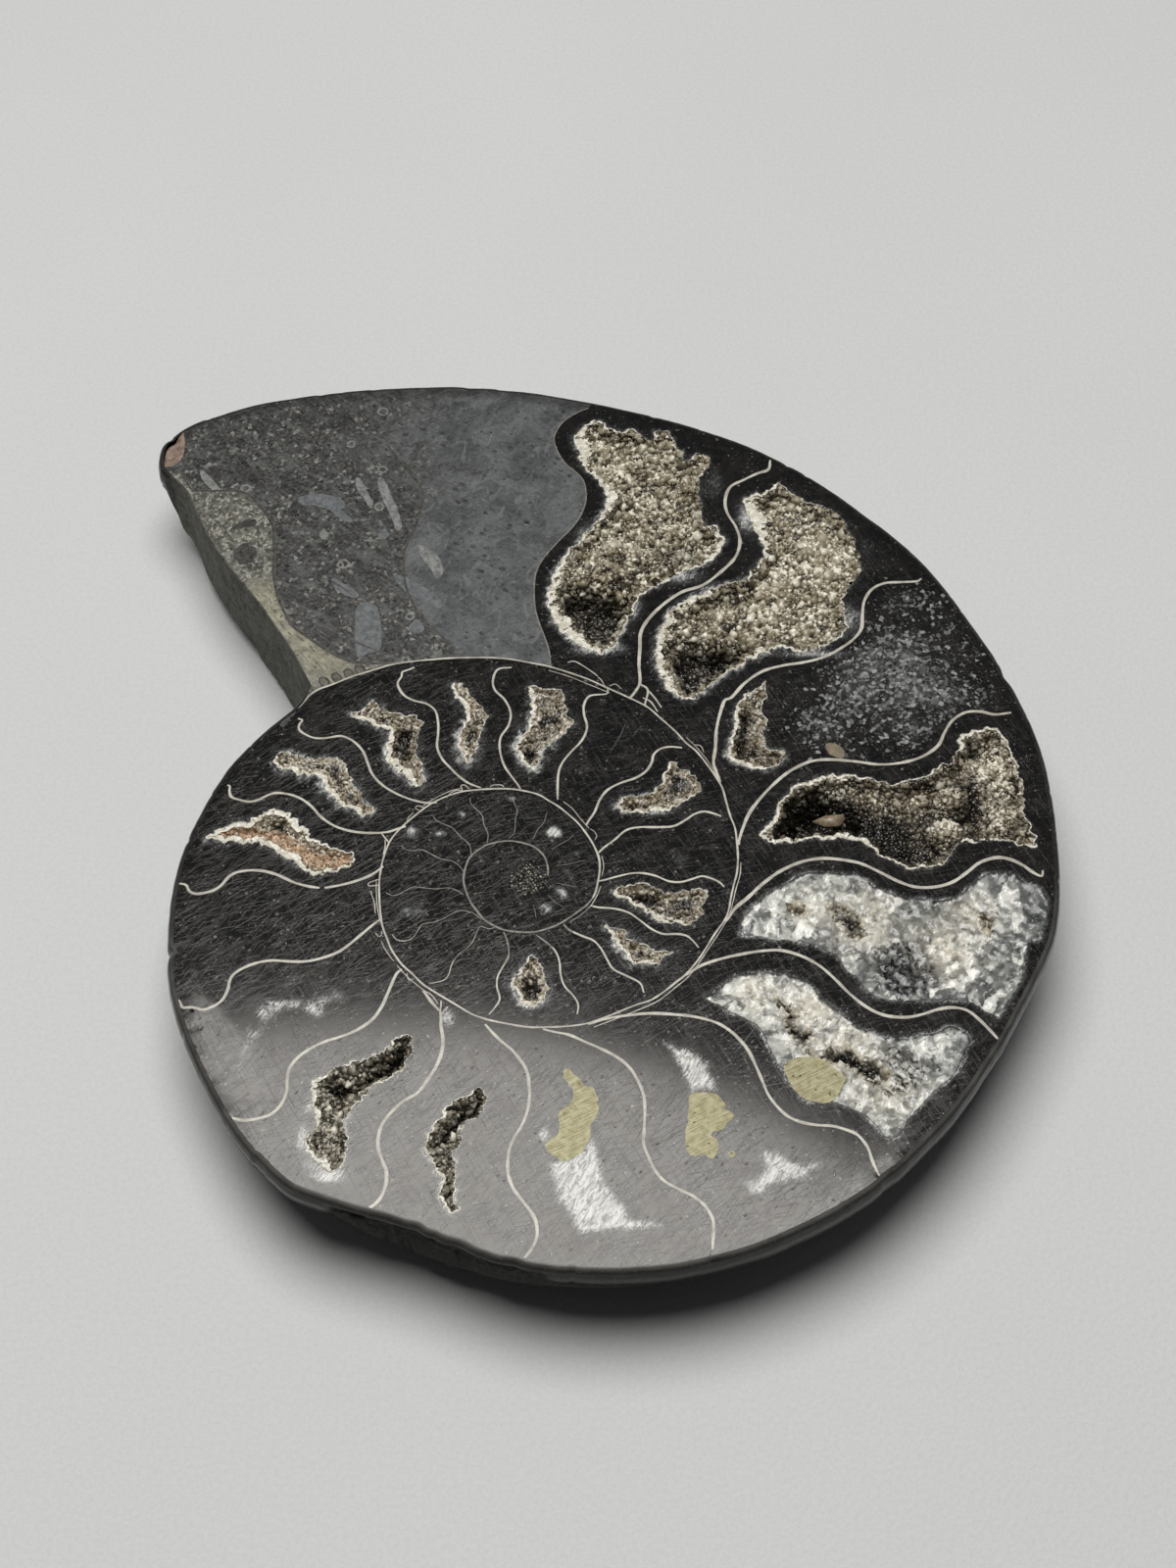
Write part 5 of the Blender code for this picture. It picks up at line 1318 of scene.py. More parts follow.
for loop in brims.values():
    kind[inside(loop, middle)] = "hole"
kind[(kind == "septa") & (np.linalg.norm(middle - INNER, axis=1) < 12.3)] = "inner"
for loop in crumb_loops:
    kind[inside(loop, middle)] = "crumb"
kind[~inside(face_loop, middle)] = "hole"
chip_line = Line(traced("187.5,439 188,446 188.5,455 186,467 178,474 170,475"), closed=False)


def face_drop(p):
    drop = roll_off(p)
    near = inside(CHIP, p)
    if near.any():
        drop[near] += 0.7 * step_between(chip_line.far(p[near], 3.0), 0.0, 1.6) + 0.12 * noise(p[near], 0.8, 61, 3)
    return drop


height = FACE - face_drop(flat)
flat3 = np.c_[flat, height]

# how cloudy and how sandy the stone is at each point
haze = np.zeros(len(flat))
for loop, strength, feather in wisps:
    line = Line(loop)
    within = inside(loop, flat)
    far = line.far(flat, 2.5)
    h = np.where(within, 0.42 + 0.58 * np.clip(far / feather, 0, 1), 0.42 * np.clip(1 - far / 0.5, 0, 1)) * strength
    haze = np.maximum(haze, h)
lump = 0.5 + 0.5 * noise(flat, 2.2, 71, 3)
for name, lip in lips.items():
    strength, reach = HALO.get(name, (0.74, 1.3))
    near_lip = Line(lip)
    far = near_lip.far(flat, 2.5)
    centre = lip.mean(0)
    faces_down = np.clip(0.5 + 0.5 * ((flat - centre) @ np.array([-0.66, -0.75])) / np.maximum(0.3, np.linalg.norm(flat - centre, axis=1)), 0, 1)
    side_of = 0.50 + 0.50 * faces_down if name in SPOTS else 0.35 + 0.65 * faces_down
    tuft = np.clip(0.5 + 0.85 * noise(flat, 0.6, 74, 3), 0, 1)
    haze = np.maximum(haze, 1.0 * strength * side_of * (0.35 + 0.6 * lump + 0.7 * tuft) * np.clip(1 - far / (reach * (0.6 + 0.8 * tuft)), 0, 1))
for loop in masses.values():
    far = Line(loop).far(flat, 2.5)
    haze = np.maximum(haze, 0.62 * (0.4 + lump) * np.clip(1 - far / 0.8, 0, 1))
blob = lambda x, y, a, b: np.exp(-((((flat[:, 0] - x) / a) ** 2 + ((flat[:, 1] - y) / b) ** 2) ** 1.25))
grain = np.maximum.reduce([0.92 * blob(46.5, 28.5, 9.0, 8.5), 0.42 * blob(37, 22, 5.5, 4.5), 0.30 * blob(49, 40, 6, 5), 0.55 * blob(53, 24, 6, 6)])
chamber_3 = turned_left(traced("960,585 903,595 890,601 882,613 880,628 879,641 871,652 857,662 839,671 819,676 800,690 790,720 800,750 815,780 847,775 873,777 898,780 921,778 941,772 957,761 964,747 972,735 985,727 1000,726 1045,726 1030,690 1000,640"))
far = Line(chamber_3).far(flat, 2.5)
grain = grain * inside(chamber_3, flat) * np.clip((far - 0.25) / 1.6, 0, 1)
grain = np.clip(grain * (0.75 + 0.6 * noise(flat, 3.0, 73, 3)), 0, 1)
for x, y, a, b, strength in VEILS:
    haze = np.maximum(haze, 1.45 * strength * (0.75 + 0.5 * lump) * np.exp(-(((flat[:, 0] - x) / a) ** 2 + ((flat[:, 1] - y) / b) ** 2)))
rubbed = step_between(face_edge.far(flat, 7.0), 5.5, 1.0) * step_between(flat[:, 1], 10.0, -12.0)
rim_soft = 1 - np.clip(face_edge.far(flat, 3.0) / 1.2, 0, 1)
haze = haze * (1 - 0.6 * rim_soft)

# the mud's parts
zone_fine = turned_left(traced(CURVE_B + " 480,760 640,700 640,380 470,380 430,405 405,430"))
far = Line(traced(CURVE_B + " 480,690"), closed=False).far(flat, 14.0)
side = np.where(inside(zone_fine, flat), 1.0, -1.0)
upward = step_between(flat[:, 1], 56.0, 62.0)
soft = 0.25 + upward * 6.5
from_line = Line(traced("470,372 430,405 405,430 395,454"), closed=False).far(flat, 14.0)
far = np.minimum(far, from_line)
fine = np.clip(0.5 + 0.5 * side * far / soft + upward * 0.35 * noise(flat, 4.0, 75, 3), 0, 1)
zone_tan = turned_left(traced("120,470 " + CURVE_A + " 380,740 300,760 120,600"))
far = Line(traced(CURVE_A), closed=False).far(flat, 3.0)
tan = np.where(inside(zone_tan, flat), np.clip(0.5 + far / 0.5, 0, 1), np.clip(0.5 - far / 0.5, 0, 1))
cream_line = Line(traced("266,608 278,622 292,640 306,656 322,672 340,684"), closed=False)
cream = np.clip(1.15 - cream_line.far(flat, 6.0) / 3.2 + 0.25 * noise(flat, 1.4, 79, 3), 0, 1)
rim_band = face_edge.far(flat, 4.0)
near_mouth_face = Line(mouth_line, closed=False).far(flat, 4.0)
dusk = step_between(rim_band, 2.3, 0.5) * step_between(near_mouth_face, 1.0, 3.5) * (0.75 + 0.4 * noise(flat, 2.5, 77, 3))
dusk = np.clip(dusk, 0, 1)

stone = polished_stone()
piece("polished_matrix", flat3, tris[kind == "matrix"], stone, {"haze": haze, "grain": grain, "rubbed": rubbed}, smooth=True, planar_uv=True)
lifted = flat3.copy()
piece("septa_and_walls", lifted, tris[kind == "septa"], septum_shell(), smooth=True, planar_uv=True)
mud = sediment()
piece("chamber_mud", flat3, tris[kind == "mud"], mud, {"fine": fine, "tan": tan, "dusk": dusk, "cream": cream}, smooth=True, planar_uv=True)
piece("inner_septa", lifted, tris[kind == "inner"], fragment("inner_shell", (0.130, 0.124, 0.106), (0.30, 0.285, 0.245)), smooth=True, planar_uv=True)
piece("old_shell_lines", flat3, tris[(kind == "old_shell") & in_body], fragment("old_shell", (0.024, 0.021, 0.016), (0.082, 0.074, 0.060)), smooth=True, planar_uv=True)
piece("last_wall_line", flat3, tris[kind == "thin_line"], fragment("thin_shell", (0.14, 0.135, 0.115), (0.26, 0.25, 0.215)), smooth=True, planar_uv=True)
piece("scratches", flat3, tris[kind == "scratch"], fragment("scratch_powder", (0.09, 0.09, 0.09), (0.20, 0.20, 0.20)), smooth=True, planar_uv=True)
for what, low, high in (("pale", (0.13, 0.134, 0.13), (0.27, 0.275, 0.262)), ("blue", (0.085, 0.093, 0.098), (0.170, 0.180, 0.185)), ("dark", (0.016, 0.015, 0.013), (0.060, 0.057, 0.050)), ("umber", (0.075, 0.068, 0.050), (0.155, 0.142, 0.108)), ("flake", (0.15, 0.118, 0.075), (0.26, 0.21, 0.14))):
    piece("scraps_" + what, flat3, tris[kind == what], fragment("scrap_" + what, low, high), smooth=True, planar_uv=True)
piece("tip_chip", flat3, tris[kind == "chip"], fragment("chip_stone", (0.19, 0.145, 0.115), (0.36, 0.27, 0.21)), smooth=True, planar_uv=True)
fade = np.zeros(len(flat))
for name, lip in lips.items():
    near = inside(lip, flat)
    fade[near] = np.clip(Line(lip).far(flat[near], 2.0) / 0.34, 0, 1)
    close = Line(brims[name]).far(flat[near], 1.0)
crust_faces = tris[kind == "crust"]
crust = flat3.copy()
crust[:, 2] -= 0.05 * (0.5 + 0.5 * noise(flat, 0.55, 81, 2)) * np.clip(fade, 0, 1)
piece("calcite_crust", crust, crust_faces, calcite_crust(), {"fade": fade}, planar_uv=True)
piece("pyrite_patches", flat3, tris[kind == "pyrite"], pyrite(), smooth=True, planar_uv=True)
piece("golden_grains", flat3, tris[kind == "crumb"], fragment("golden_grain", (0.11, 0.098, 0.060), (0.42, 0.39, 0.27)), smooth=True, planar_uv=True)

# ---------------------------------------------------------------- hollows and their crystals


def corners_of(kind, rng, n):
    """(corner points, quads) of one crystal, about 1 across, with its tip up."""
    if kind == "rhomb":
        cube = np.array([[x, y, z] for z in (0, 1) for y in (0, 1) for x in (0, 1)], float) - 0.5
        a = Vector((1, 1, 1)).rotation_difference(Vector((0, 0, 1)))
        cube = np.array([tuple(a @ Vector(p)) for p in cube])
        quads = [(0, 2, 3, 1), (4, 5, 7, 6), (0, 1, 5, 4), (2, 6, 7, 3), (0, 4, 6, 2), (1, 3, 7, 5)]
        return cube, quads
    ring = [(math.cos(math.radians(60 * k)), math.sin(math.radians(60 * k))) for k in range(6)]
    pts = [(0.42 * x, 0.42 * y, -0.45) for x, y in ring] + [(0.46 * x, 0.46 * y, 0.15) for x, y in ring]
    pts += [(0.16 * x, 0.16 * y, 0.62) for x, y in ring]
    quads = []
    for k in range(6):
        j = (k + 1) % 6
        quads += [(k, j, 6 + j, 6 + k), (6 + k, 6 + j, 12 + j, 12 + k)]
    quads += [(12, 13, 14, 15), (12, 15, 16, 17)]
    return np.array(pts), quads


def crystals(at, up, size, stretch, rng, kind, tilt=0.45, sink=0.12):
    """Many crystals as one set of (points, quads): each stands on its point, about along its normal."""
    shape, quads = corners_of(kind, rng, len(at))
    n = len(at)
    up = up + rng.normal(0, tilt, up.shape)
    up /= np.linalg.norm(up, axis=1)[:, None]
    side = np.cross(up, rng.normal(0, 1, up.shape))
    side /= np.maximum(1e-6, np.linalg.norm(side, axis=1))[:, None]
    third = np.cross(up, side)
    wide = size * rng.uniform(0.8, 1.25, n)
    local = shape[None] * np.stack([wide, size, size * stretch], 1)[:, None, :]
    local = local + rng.normal(0, 0.045, local.shape) * size[:, None, None]
    world = local[..., :1] * side[:, None] + local[..., 1:2] * third[:, None] + local[..., 2:] * up[:, None]
    world += (at - up * (sink * size)[:, None])[:, None]
    faces = (np.arange(n)[:, None, None] * len(shape) + np.array(quads)[None]).reshape(-1, 4)
    return world.reshape(-1, 3), faces, len(shape)


def scattered(verts, faces, spacing, rng):
    """Points spread over a mesh, no two nearer than about the spacing: (points, normals)."""
    a, b, c = verts[faces[:, 0]], verts[faces[:, 1]], verts[faces[:, 2]]
    cross = np.cross(b - a, c - a)
    size = np.linalg.norm(cross, axis=1)
    total = size.sum() / 2
    tries = int(total / spacing**2 * 3.2)
    pick = rng.choice(len(faces), tries, p=size / size.sum())
    u, v = rng.random(tries), rng.random(tries)
    flip = u + v > 1
    u[flip], v[flip] = 1 - u[flip], 1 - v[flip]
    p = a[pick] + (b - a)[pick] * u[:, None] + (c - a)[pick] * v[:, None]
    cell = spacing * 0.82
    keys = np.floor(p / cell).astype(int)
    taken, kept = {}, []
    limit = (spacing * 0.72) ** 2
    for i in range(tries):
        x, y, z = keys[i]
        free = True
        for dx in (-1, 0, 1):
            for dy in (-1, 0, 1):
                for dz in (-1, 0, 1):
                    for j in taken.get((x + dx, y + dy, z + dz), ()):
                        d = p[i] - p[j]
                        if d @ d < limit:
                            free = False
                            break
                    if not free:
                        break
                if not free:
                    break
            if not free:
                break
        if free:
            kept.append(i)
            taken.setdefault((x, y, z), []).append(i)
    kept = np.array(kept)
    n = cross[pick[kept]] / np.maximum(1e-12, size[pick[kept]])[:, None]
    n[n[:, 2] < 0] *= -1
    return p[kept], n


def bowl(loop, depth_at, pitch, seed):
    """The floor of a hollow, hung from its brim."""
    g = spread(loop.min(0), loop.max(0), pitch, np.random.default_rng(seed))
    g = g[inside(loop, g)]
    far = Line(loop).far(g, 9.0)
    g = g[far > 0.16]
    p, faces, _ = triangulate([loop], (), g)
    faces = faces[inside(loop, p[faces].mean(1))]
    far = Line(loop).far(p, 9.0)
    brim_at = far < 0.02
    z = FACE - face_drop(p) - np.where(brim_at, 0.0, depth_at(p, far))
    return np.c_[p, np.maximum(z, 0.6)], faces


BALLS = {"vug_4": ((971, 812, 2.3, 0.35), (967, 845, 2.2, 0.25), (1024, 800, 1.7, 0.8), (1026, 838, 1.6, 0.6))}  # knobs of crystal: image point, radius, how far under the face
TONES = {  # x, y, reach each way, how much lighter
    "vug_1": ((9, 66, 3.5, 4, 0.16), (15, 55, 4, 6, 0.02), (5.5, 44, 2, 5, 0.10), (14, 46, 5, 3.6, -0.28), (20, 66, 3, 3, -0.05), (13, 69, 2, 2, -0.15)),
    "vug_2": ((30, 56, 2.5, 4, 0.10), (38, 50, 6, 7, 0.14), (30, 42, 6, 3.6, 0.04), (27, 37, 5, 2.5, -0.10), (37, 58, 3, 2.5, -0.08)),
    "vug_9": ((-16.4, -28.6, 1.3, 1.0, 0.9), (-18.9, -30.7, 1.6, 1.1, 0.8), (-21, -34.3, 1.3, 1.7, 0.6), (-18.9, -37.1, 1.1, 1.7, 0.8)),
    "vug_10": ((-8.9, -36, 1.0, 1.3, 1.0), (-6.4, -36.8, 1.2, 1.3, 0.9), (-3.9, -29.3, 0.8, 1.2, 0.6), (-7.1, -40.7, 0.9, 1.6, 0.6)),
    "vug_4": ((41, 6, 7, 5, -0.52), (47, 9, 9, 8, -0.20), (52.5, 12.6, 1.8, 1.9, 0.40), (51.2, 7.4, 1.9, 1.8, 0.66), (57.5, 14, 2.2, 7, 0.30), (37, 14.5, 5, 1.8, 0.20), (33, 5.5, 4, 1.5, 0.2), (44, 13, 3.5, 2, 0.06), (46.5, 4.5, 4.2, 3.4, -0.42), (54.2, 10, 1.4, 4, -0.40)),
}


SHADY = {  # image point (or place in mm, where the first number is under 90), reach each way in mm, how deep in shadow
    "vug_3": ((27.2, 21.5, 0.9, 4.6, 0.9), (29.5, 18.6, 1.8, 0.8, 0.4)),
    "vug_1": ((690, 562, 3.4, 2.2, 0.42), (6.0, 40.0, 2.2, 4.4, 0.85), (9.5, 37.5, 2.6, 2.2, 0.5)),
    "vug_2": ((20.6, 31.0, 1.8, 4.4, 1.0), (25.0, 34.6, 4.2, 1.4, 0.75)),
    "vug_4": ((895, 838, 5.2, 2.6, 0.95), (998, 812, 1.1, 2.8, 0.8), (985, 792, 2.0, 1.4, 0.5), (823, 834, 4.2, 3.6, 1.7), (803, 846, 3.0, 3.2, 1.6), (850, 822, 3.4, 3.0, 1.2), (905, 862, 4.4, 3.0, 0.62), (930, 868, 3.2, 2.4, 0.5), (948, 826, 1.4, 1.6, 0.55), (993, 812, 1.0, 1.7, 0.85), (993, 845, 1.2, 1.6, 0.8), (992, 760, 1.2, 1.3, 1.0), (955, 872, 2.2, 1.0, 0.4)),
    "vug_9": ((408, 1072, 1.8, 2.6, 1.3), (365, 1098, 2.2, 1.4, 1.1), (345, 1120, 1.4, 1.6, 0.45)),
    "vug_10": ((478, 1130, 1.7, 2.2, 1.3), (462, 1148, 1.5, 1.8, 1.1)),
}


def hollow(name, seed):
    base, deeps = DEEPS[name]
    loop = brims[name]
    big = name in ("vug_1", "vug_2", "vug_4")
    parts = [(turned_left(curve(traced(text), 0.3)), deep) for text, deep in deeps]
    balls = [(on_face(np.array([[u, v]], float))[0], r, under) for u, v, r, under in BALLS.get(name, ())]

    def depth_at(p, far):
        d = base * (1 + 0.40 * noise(p, 3.6, seed, 2))
        for outline, deep in parts:
            line = Line(outline).far(p, 6.0)
            signed = np.where(inside(outline, p), line, -line)
            reach = 1.2 if big else 0.45
            d = d + (deep - base) * step_between(signed, -reach, reach * 0.55)
        for c, r, under in balls:
            q = np.linalg.norm(p - c, axis=1) / r
            d = np.where(q < 1, np.minimum(d, under + r * 1.2 * (1 - np.sqrt(np.clip(1 - q * q, 0, 1)))), d)
            d = d + 0.7 * np.exp(-(((q - 1.12) / 0.14) ** 2))
        wall = 0.42 if big else 0.22
        d = d * (1 - np.exp(-far / wall))
        if not big:
            # crystal layers stand up as folds along the edge of the hollow
            fold = np.abs(np.sin(np.pi * (far / 0.42 + 0.9 * noise(p, 1.1, seed + 5, 3))))
            d = d + (0.34 * (1 - fold) - 0.10) * np.clip(far / 0.3, 0, 1)
            return np.maximum(0.04, d + 0.16 * noise(p, 0.5, seed + 1, 3) * np.clip(far / 0.3, 0, 1))
        return np.maximum(0.04, d + 0.34 * noise(p, 1.1, seed + 1, 3) * np.clip(far / 0.6, 0, 1))

    verts, faces = bowl(loop, depth_at, 0.42 if big else 0.17, seed)
    rng = np.random.default_rng(seed)

    shady = [((u, v) if u < 90 else tuple(on_face(np.array([[u, v]], float))[0])) + (a, b, much) for u, v, a, b, much in SHADY.get(name, ())]

    # painted shade: darker the deeper a point lies, further in from the brim of a small hollow, at the shady places,
    # towards the sides of each knob of crystal and in a ring round it
    def painted_shade(p):
        dark = np.clip((FACE - p[:, 2] - (2.5 if big else base + 0.35)) / (2.6 if big else 0.9), 0, 1)
        if not big:
            from_brim = Line(loop).far(p[:, :2], 3.0)
            gap = 0.30 + 0.70 * step_between(noise(p[:, :2], 1.3, seed + 21, 2), -0.15, 0.35)
            dark = dark + (0.0 if name in ("vug_9", "vug_10", "vug_12") else 0.95) * gap * step_between(from_brim, 0.42, 0.80)
        rim = np.clip((FACE - p[:, 2] - 0.22) / 0.45, 0, 1)
        for x, y, a, b, much in shady:
            dark = dark + much * rim * np.exp(-((((p[:, 0] - x) / a) ** 2 + ((p[:, 1] - y) / b) ** 2) ** 1.5))
        for c, r, under in balls:
            q = np.linalg.norm(p[:, :2] - c, axis=1) / r
            dark = np.where(q < 0.95, 0.5 * np.clip(q - 0.6, 0, 1), dark + 0.95 * rim * np.exp(-(((q - 1.15) / 0.16) ** 2)))
        return np.clip(dark, 0, 1)

    def lighter(p):
        found = np.zeros(len(p))
        for x, y, a, b, more in TONES.get(name, ()):
            found += more * np.exp(-(((p[:, 0] - x) / a) ** 2 + ((p[:, 1] - y) / b) ** 2))
        return found

    dark, mid, light = (0.030, 0.023, 0.014), (0.365, 0.320, 0.225), (0.96, 0.915, 0.78)
    if name in ("vug_9", "vug_10"):
        dark, mid, light = (0.034, 0.028, 0.020), (0.36, 0.325, 0.255), (0.93, 0.89, 0.78)
    elif name == "vug_4":
        dark, mid, light = (0.030, 0.024, 0.016), (0.31, 0.265, 0.190), (0.92, 0.865, 0.73)
    elif not big:
        dark, mid, light = (0.050, 0.038, 0.024), (0.42, 0.36, 0.26), (0.94, 0.91, 0.81)
    finish = druse("druse_" + name, dark, mid, light, rust=name == "vug_12")
    tone = 0.06 + 0.10 * noise(verts, 0.8, seed + 2)
    if not big:
        far = Line(loop).far(verts[:, :2], 3.0)
        fold = np.abs(np.sin(np.pi * (far / 0.42 + 0.9 * noise(verts[:, :2], 1.1, seed + 5, 3))))
        # painted light and shade: the lining is lighter on its raised folds, darker between them and further in from
        # the brim
        tone = 0.08 + 0.70 * fold**1.5 + 0.30 * noise(verts[:, :2], 0.34, seed + 8, 3) - 0.34 * step_between(far, 0.35, 1.1) + 0.20 * noise(verts[:, :2], 1.8, seed + 9, 2)
    rust = np.zeros(len(verts))
    band = None
    if name == "vug_12":
        band = Line(traced("226,852 245,850 262,850 282,853 294,858 303,864 313,870 323,874 337,876 350,876"), closed=False)
        rust = step_between(band.far(verts[:, :2], 3.0), 1.5, 0.4)
    extra = {"rust": rust} if band else {}
    # painted shade on the lining, darker down in the hollow
    piece("lining_" + name, verts, faces, finish, {"tone": np.clip(tone, 0, 1), "deep": np.clip(painted_shade(verts) * 1.05 + (0.1 if big else 0.0), 0, 1), **extra}, smooth=True)
    layers = ((0.68, 0.72, 1.0), (0.38, 0.43, 1.0)) if big else ((0.56, 0.46, 0.42), (0.34, 0.30, 0.30))
    if name in ("vug_4", "vug_3"):
        layers = ((0.50, 0.54, 1.0), (0.32, 0.36, 1.0))
    elif name in ("vug_9", "vug_10"):
        layers = ((0.60, 0.60, 0.8), (0.36, 0.38, 0.7))
    every_v, every_f, tone_of, deep_of, rust_of, total = [], [], [], [], [], 0
    for layer, (spacing, size, share) in enumerate(layers):
        at, up = scattered(verts, faces, spacing, rng)
        kept = rng.random(len(at)) < share
        at, up = at[kept], up[kept]
        blocky = rng.random(len(at)) < 0.66
        for kind, chosen in (("rhomb", blocky), ("point", ~blocky)):
            p, n = at[chosen], up[chosen]
            m = len(p)
            if not m:
                continue
            s = size * (0.50 + 1.0 * rng.random(m) ** 1.8)
            v, f, each = crystals(p, n, s, rng.uniform(0.85, 1.5, m), rng, kind, tilt=0.46, sink=0.02 if layer == 0 else -0.04)
            v[:, 2] = np.minimum(v[:, 2], FACE - 0.004)
            shade = 0.46 + 0.36 * noise(p[:, :2], 2.4, seed + 3, 3) + rng.normal(0, 0.25, m) + (0.06 if layer == 0 else -0.06) + lighter(p)
            # painted shade for each crystal, from where it sits in the hollow
            g = painted_shade(p) * rng.uniform(0.75, 1.1, m)
            # painted shade: the lower corners of a crystal are darkened, down between its neighbours
            painted_gap_shade = np.clip(0.55 - ((v.reshape(m, each, 3) - p[:, None]) * n[:, None]).sum(2) / (0.62 * s[:, None]), 0, 1)
            every_v.append(v)
            every_f.append(f + total)
            tone_of.append((shade[:, None] + 0.10 - 1.15 * painted_gap_shade).ravel())
            deep_of.append(np.repeat(g, each))
            if band:
                rust_of.append(np.repeat(step_between(band.far(p[:, :2], 3.0), 1.5, 0.5) * rng.uniform(0.6, 1, m), each))
            total += len(v)
    piece("druse_" + name, np.vstack(every_v), np.vstack(every_f), finish, {"tone": np.clip(np.concatenate(tone_of), 0, 1), "deep": np.clip(np.concatenate(deep_of), 0, 1), **({"rust": np.concatenate(rust_of)} if band else {})})


for k, name in enumerate(VUGS):
    hollow(name, 900 + 10 * k)

# a loose flake lies in the deep end of one hollow
flake = on_face(points("829,837 842,833 860,833 862,837 857,842 842,842"), 2.4)
flake = even(flake, 0.2)
n = len(flake)
middle_of = flake.mean(0)
slope = ((flake - middle_of) @ np.array([0.12, 0.34]))
upper, lower = np.c_[flake, FACE - 2.4 + slope], np.c_[flake, FACE - 2.75 + slope]
verts = np.vstack([upper, lower, [[*middle_of, FACE - 2.22]], [[*middle_of, FACE - 2.8]]])
a, b = np.arange(n), (np.arange(n) + 1) % n
faces = np.vstack([np.c_[a, n + a, n + b], np.c_[a, n + b, b], np.c_[a, b, np.full(n, 2 * n)], np.c_[n + b, n + a, np.full(n, 2 * n + 1)]])
if area(flake) < 0:
    faces = faces[:, ::-1]
piece("loose_flake", verts, faces, fragment("flake_stone", (0.20, 0.155, 0.10), (0.34, 0.27, 0.19)), planar_uv=True)

# ---------------------------------------------------------------- chambers filled with blocky calcite


